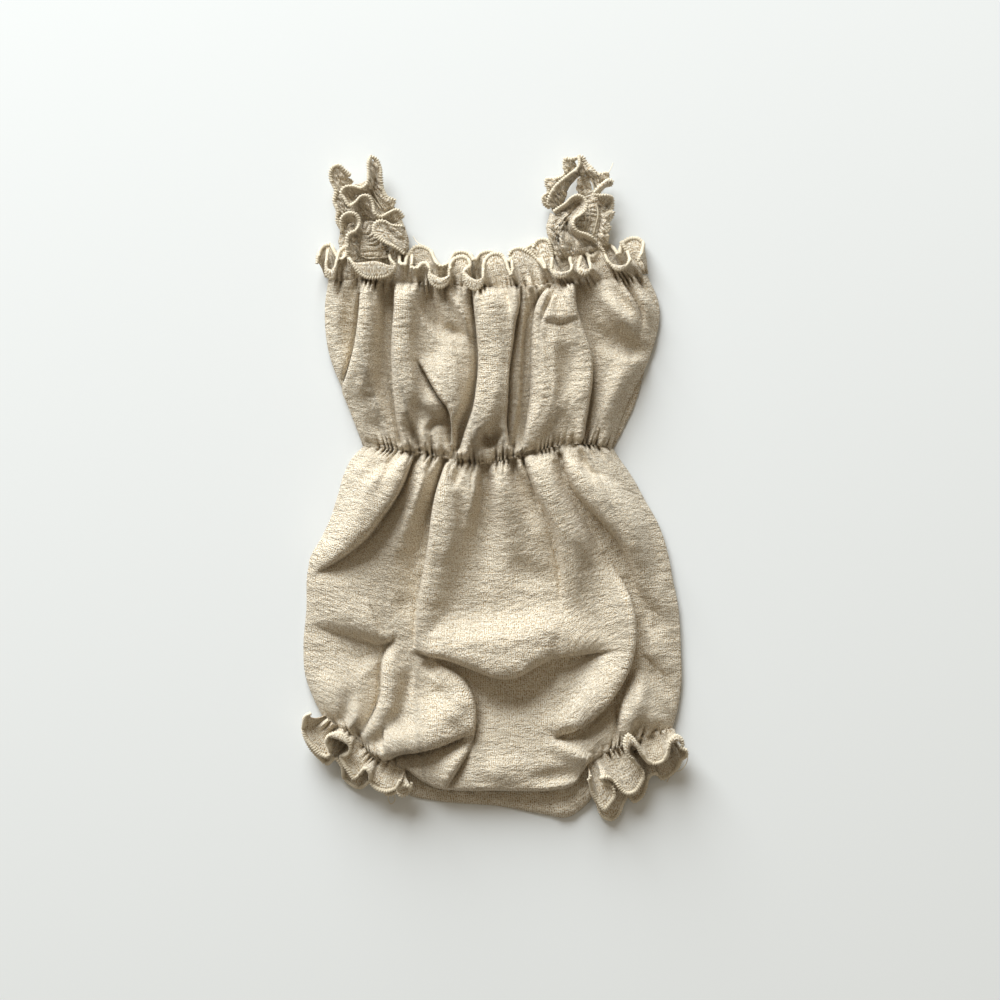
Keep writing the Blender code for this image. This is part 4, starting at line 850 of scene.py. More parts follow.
# The real overlock has a stitch every 1.1 mm, too fine to draw at this size.
STITCH_PITCH = 1.6
STITCH_STEP = 0.36
OVERLOCK_WIDE = 1.24
OVERLOCK_THICK = 0.92
OVERLOCK_INWARDS = 0.45
NECK_EDGE = (
    (-103.5, 147.9), (-104.8, 136.7), (-104.2, 131.1), (-101.1, 129.3), (-99.2, 134.2), (-98, 141.7),
    (-96.1, 147.2), (-92.4, 149.7), (-91.1, 145.4), (-88.7, 139.2), (-84.9, 133.6), (-80.6, 130.5),
    (-71.9, 129.9), (-65.7, 131.8), (-62, 136.7), (-65.1, 142.3), (-65.1, 146), (-62, 149.1), (-59.5, 144.8),
    (-58.3, 139.2), (-56.4, 138.6), (-54.6, 143.5), (-52.1, 147.2), (-51.5, 141.1), (-51.5, 136.7),
    (-49, 136.1), (-45.9, 139.2), (-42.2, 139.2), (-40.3, 134.8), (-40.9, 129.9), (-39.1, 126.2),
    (-34.7, 123.7), (-30.4, 125.5), (-28.5, 129.9), (-28.5, 134.8), (-27.3, 139.8), (-24.2, 142.6),
    (-20.5, 143.5), (-16.7, 141.7), (-15.5, 138.6), (-19.2, 134.8), (-18.6, 129.3), (-16.1, 124.3),
    (-12.4, 122.5), (-8.7, 124.9), (-7.4, 129.9), (-7.4, 136.7), (-5.6, 142.3), (-1.2, 145.4), (3.7, 144.8),
    (6.8, 139.8), (9.9, 131.1), (10.5, 139.8), (9.3, 146.6), (14.3, 148.8), (20.5, 146.6), (26.7, 141.7),
    (31.6, 136.4), (27.9, 143.5), (23.6, 149.7), (26.7, 153.8), (32.9, 153.4), (34.7, 149.1), (35.3, 142.3),
    (34.7, 134.8), (38.4, 130.5), (42.8, 130.5), (47.1, 134.8), (46.5, 142.3), (46.5, 147.9), (49.6, 150),
    (53.3, 148.5), (53.3, 143.5), (51.5, 137.9), (52.1, 133), (55.2, 131.8), (58.9, 134.2), (58.3, 140.4),
    (58.3, 146), (62, 148.5), (66.3, 148.5), (68.2, 144.2), (71.3, 138.6), (75.6, 134.8), (80.6, 136.1),
    (83.1, 141.7), (80.6, 149.1), (78.1, 152.8),
)


def seen(points):
    """Points at these heights that look, from the camera, as if they lay on the table at these places: each
    is drawn in to the place below the camera by the share of the camera's height at which it lies."""
    share = 1 - points[..., 2:] / EYE[2]
    return np.concatenate([EYE[:2] + (points[..., :2] - EYE[:2]) * share, points[..., 2:]], axis=-1)


def evened(at):
    """Shares from 0 to 1 that never go back, from uneven ones: a mean weighted by a bell curve, with the ends
    carried on by their mirror image."""
    blur = np.exp(-0.5 * (np.arange(-40, 41) * RUFFLE_STEP / EVEN_OVER) ** 2)
    carried_on = np.concatenate([2 * at[0] - at[40:0:-1], at, 2 * at[-1] - at[-2:-42:-1]])
    at = np.maximum.accumulate(np.convolve(carried_on, blur / blur.sum(), "valid"))
    return (at - at[0]) / (at[-1] - at[0])


def ruffle(foot, edge, side, reach, pitch, curls=(), tuck=0, tilt=0):
    """Rows of points from the gathered foot line of a ruffle to its edge line. Each column is a cubic curve
    that starts away and up from the foot and reaches the edge from above it where the edge has curled back
    over the foot, and from below where it lies away from it. The edge's height is that of a cloth of this
    reach, and the tilt more. The pleats of the foot are those of the panel that it tops, and grow together as
    they get off it. Curls are where it folds over further: x, half width and how much. Tuck is how far the
    foot reaches under the panel."""
    foot = np.array(foot, float)
    edge = np.array(edge, float)
    tip = along(edge, np.linspace(0, 1, int(run_along(edge)[-1] / RUFFLE_STEP)))[:, :2]
    base = along(foot, np.linspace(0, 1, 500))[:, :2]
    nearest = np.argmin(np.linalg.norm(tip[:, None] - base[None], axis=2), axis=1)
    at = evened(nearest / 499)
    start = along(foot, at)
    way = along(foot, np.minimum(at + 0.01, 1)) - along(foot, np.maximum(at - 0.01, 0))
    way = side * np.stack([-way[:, 1], way[:, 0]], axis=-1)
    way = way / np.linalg.norm(way, axis=1)[:, None]
    start[:, :2] -= tuck * way
    off = tip - start[:, :2]
    flat = ease((off * way).sum(axis=1) / reach)
    rise = RUFFLE_RISE * np.sqrt(np.maximum(reach**2 - np.minimum((off**2).sum(axis=1), reach**2), 0))
    end = seen(np.concatenate([tip, (start[:, 2] + rise + tilt)[:, None]], axis=1))
    further = np.zeros(len(tip))
    for x, wide, more in curls:
        further += more * np.exp(-(((tip[:, 0] - x) / wide) ** 2))

    def lift(away, up):
        """Steps away from the foot and up."""
        return np.concatenate([way * away[:, None], up[:, None]], axis=1)

    first = start + lift(4 + 3 * flat, 9 - 6 * flat) + np.concatenate([0.25 * off, 0 * off[:, :1]], axis=1)
    second = end + lift(9 - 15 * flat + further, 4 - 2.5 * flat)
    t = np.linspace(0, 1, RUFFLE_ROWS)[:, None, None]
    surface = (1 - t) ** 3 * start + 3 * t * (1 - t) ** 2 * first + 3 * t * t * (1 - t) * second + t**3 * end
    t = t[..., 0]
    seam = foot[0, 0] + at * (foot[-1, 0] - foot[0, 0])
    pleats = gathers(seam[None], reach * t, pitch, 4)
    surface[..., 2] = np.maximum(surface[..., 2] + RUFFLE_PLEATS * pleats * (1 - t) ** 4, 1)
    return surface


def overlock_thread():
    """Spun polyester sewing thread, soft and matt, a little paler than the gauze."""
    material, tree, shader = new_material("spun_polyester_thread", 0.85)
    place = add(tree, "ShaderNodeTexCoord").outputs["Object"]
    fuzz = add(tree, "ShaderNodeTexNoise", {"Vector": place, "Scale": 900.0, "Detail": 2.0}).outputs["Fac"]
    colours = {0: fuzz, 6: linear(OATMEAL), 7: linear(CREAM_THREAD)}
    tone = add(tree, "ShaderNodeMix", colours, data_type="RGBA")
    tree.links.new(tone.outputs[2], shader.inputs["Base Color"])
    bump = add(tree, "ShaderNodeBump", {"Strength": 0.6, "Distance": 0.3 * MM, "Height": fuzz})
    tree.links.new(bump.outputs[0], shader.inputs["Normal"])
    shader.inputs["Specular IOR Level"].default_value = 0.25
    shader.inputs["Sheen Weight"].default_value = 0.2
    return material


thread = overlock_thread()


def square_to(middle, aside):
    """Two unit vectors across a line at each of its points: what is left of aside when the part along the
    line is taken off, and the one that is square to both."""
    way = np.gradient(middle, axis=0)
    way /= np.linalg.norm(way, axis=1)[:, None]
    aside = aside - (aside * way).sum(axis=1)[:, None] * way
    aside /= np.linalg.norm(aside, axis=1)[:, None] + 1e-9
    return aside, np.cross(way, aside)


def tubes(name, rings):
    """One piece in thread from tubes, each an array of rings of points along it, closed at both ends."""
    corners, faces = [], []
    for ring in rings:
        number = np.arange(ring[..., 0].size).reshape(ring.shape[:2]) + sum(map(len, corners))
        after = np.roll(number, -1, axis=1)
        sides = np.stack([number[:-1], after[:-1], after[1:], number[1:]], axis=-1)
        faces += sides.reshape(-1, 4).tolist() + [number[0, ::-1].tolist(), number[-1].tolist()]
        corners.append(ring.reshape(-1, 3) * MM)
    mesh = bpy.data.meshes.new(name)
    mesh.from_pydata(np.concatenate(corners), [], faces)
    mesh.polygons.foreach_set("use_smooth", np.ones(len(mesh.polygons), bool))
    mesh.materials.append(thread)
    piece = bpy.data.objects.new(name, mesh)
    scene.collection.objects.link(piece)
    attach(piece, "root")
    return piece


def overlock(name, *grids):
    """Cream thread wound over the edges of ruffles: a tube along the last row of each grid, wider across the
    cloth's edge than through it, with a slanted ridge at each stitch."""
    rings = []
    for grid in grids:
        line = grid[-1]
        length = np.concatenate([[0], np.cumsum(np.linalg.norm(np.diff(line, axis=0), axis=1))])
        at = np.linspace(0, length[-1], int(length[-1] / STITCH_STEP))
        middle = np.stack([np.interp(at, length, line[:, k]) for k in range(3)], axis=-1)
        into_cloth = np.stack([np.interp(at, length, (grid[-3] - line)[:, k]) for k in range(3)], axis=-1)
        inwards, upwards = square_to(middle, into_cloth)
        at = at[:, None]
        angle = np.linspace(0, 2 * np.pi, 8, endpoint=False)
        wind = 1 + 0.42 * np.cos(2 * np.pi * at / STITCH_PITCH + angle) * (0.8 + 0.4 * np.sin(at / 2.3))
        rings.append(
            (middle + OVERLOCK_INWARDS * inwards)[:, None]
            + OVERLOCK_WIDE * (wind * np.cos(angle))[..., None] * inwards[:, None]
            + OVERLOCK_THICK * (wind * np.sin(angle))[..., None] * upwards[:, None]
        )
    return tubes(name, rings)


x = np.linspace(-102.5, 91.5, FOOT_POINTS)
neck_foot = np.stack([x, neck_y(x) - 1.5, np.full(FOOT_POINTS, NECK_Z - 1.2)], axis=-1)
grid = ruffle(neck_foot, NECK_EDGE, 1, NECK_REACH, NECK_PITCH, curls=((-75.6, 11, 13),))
neck_front = cloth("neck_ruffle_front", grid[::-1], wall=RUFFLE_WALL)
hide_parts("neck_frill_front", "neck_band")
overlock("neck_overlock_front", grid)

# ---- Ruffle at the back of the neck ----
# The cloth above the elastic of the back panel, the same gauze, gathered and overlocked in the same way. It
# lies nearly flat behind the front one and shows between its lobes.
NECK_BACK_Z = 3.4
NECK_BACK_REACH = 20
NECK_BACK_EDGE = (
    (-110.4, 138.6), (-109.7, 144.8), (-106, 150.3), (-102.3, 151), (-99.2, 146), (-95.5, 141.7),
    (-91.8, 146.6), (-86.2, 151), (-78.7, 149.7), (-73.8, 144.8), (-68.8, 149.1), (-63.2, 151.6),
    (-58.3, 147.9), (-53.9, 144.8), (-50.2, 149.1), (-45.3, 149.7), (-40.3, 147.2), (-37.2, 141.7),
    (-33.5, 137.3), (-29.1, 139.8), (-25.4, 145.4), (-19.8, 146.6), (-15.5, 144.8), (-13, 141.7),
    (-9.3, 145.4), (-3.1, 146.9), (3.1, 144.8), (8.1, 141.1), (12.4, 144.8), (18, 147.9), (22.9, 151),
    (28.5, 152.8), (33.5, 149.1), (37.8, 145.4), (42.8, 149.7), (49, 151.6), (54.6, 147.9), (59.5, 143.5),
    (64.5, 147.9), (68.8, 151), (73.2, 149.1), (76.3, 145.4), (78.7, 151.6), (83.7, 154.7), (88.7, 154.7),
    (91.8, 151.6), (90.5, 146), (88.7, 139.8),
)
x = np.linspace(-105, 94, FOOT_POINTS)
back_foot = np.stack([x, neck_y(x) + 1, np.full(FOOT_POINTS, NECK_BACK_Z)], axis=-1)
grid = ruffle(back_foot, NECK_BACK_EDGE, 1, NECK_BACK_REACH, NECK_PITCH)
neck_back = cloth("neck_ruffle_back", grid[::-1], wall=RUFFLE_WALL)
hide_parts("neck_frill_back")
overlock("neck_overlock_back", grid)

# ---- Ruffles at the legs ----
# What lies below the leg elastics, a front and a back half on each leg, overlocked like the neck. The front
# halves tilt up, and their feet are tucked under the panel. Each half has the points of its gathered foot,
# then those of its edge.
LEFT_LEG = (
    ((-106.6, -142.9), (-101.7, -147.9), (-94.2, -151.6), (-86.2, -155.3), (-80, -160.9), (-73.8, -167.1),
     (-65.1, -170.8), (-55.8, -173.6)),
    ((-114.1, -139.8), (-117.8, -141.7), (-119, -146.6), (-118.4, -154.1), (-114.1, -160.3), (-108.5, -165.8),
     (-103.5, -167.1), (-102.3, -162.8), (-104.8, -157.8), (-103.5, -154.1), (-99.8, -152.2), (-95.5, -152.2),
     (-91.1, -155.9), (-89.6, -160.9), (-91.8, -165.8), (-96.1, -167.1), (-94.9, -170.2), (-91.1, -175.8),
     (-87.4, -180.7), (-84.3, -178.2), (-80.6, -174.5), (-78.1, -177), (-76.9, -183.8), (-72.5, -187.6),
     (-67, -188.8), (-61.4, -186.9), (-56.4, -185.1), (-53, -186.3), (-53.9, -189.4), (-58.3, -191.3),
     (-60.8, -187.6), (-58.3, -181.3)),
)
LEFT_LEG_BACK = (
    ((-107.3, -145.4), (-99.8, -152.8), (-89.9, -159), (-81.2, -166.5), (-72.5, -171.4), (-62.6, -176.4),
     (-55.2, -177.6)),
    ((-117.2, -145.4), (-117.8, -155.3), (-114.1, -162.1), (-108.5, -168.3), (-103.5, -171.4),
     (-99.2, -168.3), (-95.5, -172.1), (-93.6, -180.1), (-89.9, -183.8), (-84.9, -186.3), (-80, -184.4),
     (-76.3, -180.7), (-71.3, -185.1), (-66.3, -190.7), (-61.4, -189.4), (-57.7, -184.4), (-52.7, -187.6),
     (-51.5, -182.6)),
)
RIGHT_LEG = (
    ((57.7, -170.8), (65.1, -167.1), (73.8, -162.8), (82.5, -159), (91.1, -155.9), (99.2, -153.4),
     (106.6, -152.2), (111, -151.6)),
    ((58.9, -178.2), (60.1, -187.6), (63.9, -195), (67.6, -199.9), (71.3, -196.2), (74.4, -190),
     (71.9, -185.7), (67.6, -183.2), (66.3, -180.7), (70.1, -180.1), (74.4, -183.2), (78.1, -187.6),
     (81.8, -190), (86.8, -188.8), (90.5, -183.8), (92.4, -178.9), (89.9, -174.5), (84.9, -168.9),
     (81.2, -163.4), (80, -157.2), (82.5, -153.1), (85.6, -155.3), (88.7, -160.9), (91.8, -167.1),
     (95.5, -170.8), (100.4, -171.4), (105.4, -168.9), (107.9, -163.4), (108.5, -157.2), (112.2, -153.4),
     (115.9, -155.9), (116.6, -160.3)),
)
RIGHT_LEG_BACK = (
    ((58.9, -175.2), (67.6, -171.4), (76.3, -167.1), (86.2, -162.8), (96.1, -159), (103.5, -156.6),
     (110.4, -154.1)),
    ((60.1, -188.8), (63.9, -197.5), (67, -204.3), (71.9, -206.2), (76.9, -202.4), (80, -195), (82.5, -191.3),
     (86.2, -195), (90.5, -192.5), (93.6, -186.3), (96.1, -178.9), (99.8, -177.6), (103.5, -180.7),
     (109.1, -178.2), (113.5, -173.3), (115.9, -168.9), (119, -166.5), (118.4, -162.8), (114.7, -160.9)),
)
# How high the foot of a half lies, how far its edge tilts up and how far its foot is tucked under the panel.
FRONT_HALF = (9, 4, 3)
BACK_HALF = (3, 0, 0)
for name, node, (foot, edge), reach, (foot_z, tilt, tuck), flat in (
    ("leg_ruffle_left", "leg_frill_left", LEFT_LEG, 17, FRONT_HALF, (0.14, 0.018)),
    ("leg_ruffle_left_back", "leg_frill_left_back", LEFT_LEG_BACK, 18, BACK_HALF, (0.12, 0.017)),
    ("leg_ruffle_right", "leg_frill_right", RIGHT_LEG, 19, FRONT_HALF, (0.15, 0.019)),
    ("leg_ruffle_right_back", "leg_frill_right_back", RIGHT_LEG_BACK, 20, BACK_HALF, (0.13, 0.02)),
):
    grid = ruffle([(x, y, foot_z) for x, y in foot], edge, -1, reach, LEG_PITCH, tuck=tuck, tilt=tilt)
    piece = cloth(name, grid, wall=RUFFLE_WALL)
    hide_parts(node)
    overlock(name.replace("ruffle", "overlock"), grid)

# ---- Left strap ----
# A strip shirred along its middle with elastic thread and left wide at both sides, overlocked, so that its
# edges ruffle. It rises from the front of the neck, folds over and goes down behind.
BAND_DEPTH = 2.2
BAND_ROWS = 18
CURL_ROWS = 24
STRAP_STEP = 0.75
# Each part of the strap is a surface through the lines of points given for it, from its middle to its edge.
STRAP_LEFT = {
    "band": (
        ((-84.3, 142.9, 9.6), (-84.9, 149.7, 11), (-83.1, 157.2, 11.7), (-81.2, 164.6, 11.7)),
        ((-75.6, 141.7, 10.3), (-76.9, 149.1, 12.4), (-77.5, 156.6, 12.8), (-78.1, 165.2, 12.4)),
        ((-66.3, 142.3, 9.6), (-68.8, 149.1, 11), (-71.9, 156.6, 11.7), (-75, 165.2, 11.7)),
    ),
    "front_left": (
        ((-84.3, 142.9, 9.6), (-84.3, 149.7, 11), (-83.1, 156.6, 11.7), (-82.5, 160.3, 11),
         (-85.6, 163.4, 10.3), (-89.9, 164, 9.6), (-92.4, 159.7, 8.9)),
        ((-88.7, 139.2, 13.1), (-89.9, 147.2, 15.2), (-89.9, 153.4, 15.2), (-86.8, 158.4, 14.5),
         (-86.2, 164.6, 13.8), (-90.5, 167.1, 13.8), (-93.6, 163.4, 11.7)),
        ((-90.5, 139.8, 13.8), (-92.1, 151.6, 17.3), (-91.5, 156.6, 18), (-85.6, 160.3, 18),
         (-83.7, 165.2, 18), (-86.2, 169.6, 18), (-91.1, 170.5, 18), (-94.9, 167.7, 16.6),
         (-94.9, 159.7, 13.8)),
    ),
    "front_right": (
        ((-66.3, 142.3, 8.2), (-64.5, 151, 8.2), (-63.9, 158.4, 8.2), (-62.6, 162.1, 8.2)),
        ((-56.4, 144.2, 10.3), (-55.2, 151.6, 11.7), (-56.4, 158.4, 12.4), (-56.4, 162.1, 11.7)),
        ((-56.4, 144.8, 13.8), (-62, 149.1, 15.9), (-68.8, 152.2, 17.3), (-73.8, 155.3, 18),
         (-75.6, 159.7, 18), (-74.4, 164, 18), (-70.7, 165.5, 18), (-64.5, 162.8, 16.6),
         (-57.7, 162.1, 14.5)),
    ),
    "rope": (
        ((-62.6, 163.4, 6.8), (-68.8, 163.4, 7.5), (-73.2, 164.6, 8.2), (-77.5, 167.1, 8.2),
         (-81.2, 169.6, 8.2), (-84.3, 173.3, 8.2), (-86.8, 177.6, 8.2), (-87.4, 180.7, 7.5),
         (-84.3, 182, 6.8), (-80, 183.2, 6.8), (-75.6, 186.9, 6.8), (-73.8, 193.1, 6.8), (-73.2, 199.3, 6.8)),
        ((-60.1, 164.6, 11.7), (-66.3, 166.5, 13.1), (-73.2, 166.5, 13.8), (-78.1, 174.5, 14.5),
         (-83.7, 176.4, 13.8), (-88.7, 174.5, 13.8), (-91.8, 178.2, 13.1), (-93, 181.3, 13.1),
         (-90.5, 184.4, 13.1), (-84.9, 185.1, 13.1), (-78.1, 185.1, 13.1), (-76.3, 193.1, 13.1),
         (-75.6, 200.6, 11.7)),
        ((-56.4, 167.7, 13.1), (-60.8, 172.4, 15.2), (-66.3, 170.2, 16.6), (-71.3, 168, 17.3),
         (-74.4, 170.2, 18), (-75.6, 175.8, 18), (-78.7, 181, 18), (-82.5, 181, 18), (-86.8, 176.7, 18),
         (-89.9, 174.5, 17.3), (-93.6, 178.9, 17.3), (-95.8, 182.6, 17.3), (-93.6, 186, 17.3),
         (-88, 186.9, 17.3), (-83.1, 185.7, 17.3), (-80, 187.6, 18), (-78.7, 195.6, 18), (-78.7, 201.8, 16.6),
         (-77.5, 205.8, 13.8)),
    ),
    "top_right": (
        ((-76.9, 200.6, 8.9), (-76.3, 193.1, 8.9), (-75, 185.7, 8.2), (-72.5, 178.2, 7.5),
         (-68.2, 171.4, 6.8)),
        ((-74.4, 203.1, 10.3), (-73.2, 195, 10.3), (-71.9, 185.7, 9.6), (-68.8, 178.2, 8.9),
         (-64.5, 173.9, 7.5)),
        ((-77.8, 205.8, 12.4), (-73.8, 204, 11.7), (-71, 198.7, 11), (-70.4, 191.3, 10.3),
         (-69.1, 184.4, 9.6), (-66.3, 179.8, 8.9), (-62.3, 178.2, 8.2), (-63.5, 173.9, 6.8)),
    ),
    "top_left": (
        ((-87.4, 190, 6.8), (-89.9, 186.3, 6.8), (-91.8, 182.6, 6.8), (-92.4, 177, 6.8), (-91.8, 170.8, 6.8),
         (-91.8, 162.8, 6.1)),
        ((-91.1, 191.9, 9.6), (-96.1, 191.9, 9.6), (-97.3, 185.7, 8.9), (-96.1, 178.2, 8.9),
         (-95.5, 170.8, 8.2), (-94.9, 162.1, 6.8)),
        ((-89.3, 193.8, 9.6), (-93, 196.8, 11), (-97.3, 200.3, 12.4), (-101.1, 198.7, 11.7),
         (-102.3, 191.9, 10.3), (-99.2, 183.8, 9.6), (-100.1, 177.6, 9.6), (-98, 171.4, 8.9),
         (-98, 164.6, 7.5), (-94.9, 159, 6.1)),
    ),
    "behind": (
        ((-95.5, 186.9, 4.7), (-94.2, 178.2, 4.7), (-93, 169.6, 4.7), (-95.5, 160.9, 4), (-96.7, 151, 4),
         (-94.9, 142.3, 4)),
        ((-82.5, 188.8, 6.8), (-78.7, 178.2, 6.1), (-75, 169.6, 6.1), (-75, 160.9, 5.4), (-76.3, 151, 5.4),
         (-76.3, 142.3, 4.7)),
        ((-71.3, 196.8, 5.4), (-67.6, 181.3, 4.7), (-59.5, 169.6, 4.7), (-55.8, 160.9, 4), (-53.3, 152.2, 4),
         (-53.9, 143.5, 4)),
    ),
}


def loft(lines, rows):
    """A smooth surface through these lines, from the first to the last: its rows of points, the share of the
    way from the first line at each row, and how far along the longest line each column lies."""
    longest = max(run_along(np.array(line))[-1] for line in lines)
    share = np.linspace(0, 1, int(longest / STRAP_STEP))
    spread = np.stack([along(line, share) for line in lines])
    t = np.linspace(0, 1, rows)
    known = np.linspace(0, 1, len(lines))
    columns = [[through(t, known, spread[:, i, k]) for k in range(3)] for i in range(len(share))]
    return np.stack(columns).transpose(2, 0, 1), t[:, None], share[None] * longest


def band(lines, pitch):
    """The shirred middle of a strap: its ridges are the power 0.7 of a sine, uneven and bent, about pitch
    apart, and lower to both its sides."""
    surface, t, run = loft(lines, BAND_ROWS)
    bent = 1.2 * np.sin(3 * t + run / 9) + 0.9 * np.sin(run / 2.1) + 0.7 * np.sin(7 * t + run / 3)
    ridge = np.abs(np.sin(np.pi * run / pitch + bent)) ** 0.7 - 0.5
    strength = (1 + 0.5 * np.sin(run / 2.7 + 5 * t)) * np.sin(np.pi * np.clip(t, 0.08, 0.92))
    surface[..., 2] += BAND_DEPTH * ridge * strength
    return seen(surface)


def curl(lines, crumple):
    """A ruffled side of a strap, with slanting wrinkles of the height of crumple that fade to its edge."""
    surface, t, _ = loft(lines, CURL_ROWS)
    x = surface[..., 0]
    y = surface[..., 1]
    surface[..., 2] += crumple * ripples(x - y, x + y, 14, 4, 11) * (1 - t**4)
    return seen(surface)


def strap_parts(table, pitch, crumple, smooth=()):
    """The grids of a strap by name: its shirred band, and its ruffled sides, some of which are smooth."""
    parts = {"band": band(table["band"], pitch)}
    for name, lines in table.items():
        if name != "band":
            parts[name] = curl(lines, 0 if name in smooth else crumple)
    return parts


grids = strap_parts(STRAP_LEFT, pitch=2.9, crumple=0.7)
strap = cloth("strap_left_cloth", *grids.values(), wall=RUFFLE_WALL)
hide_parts("strap_left")
overlock("strap_left_overlock", *(grid for name, grid in grids.items() if name not in ("band", "behind")))

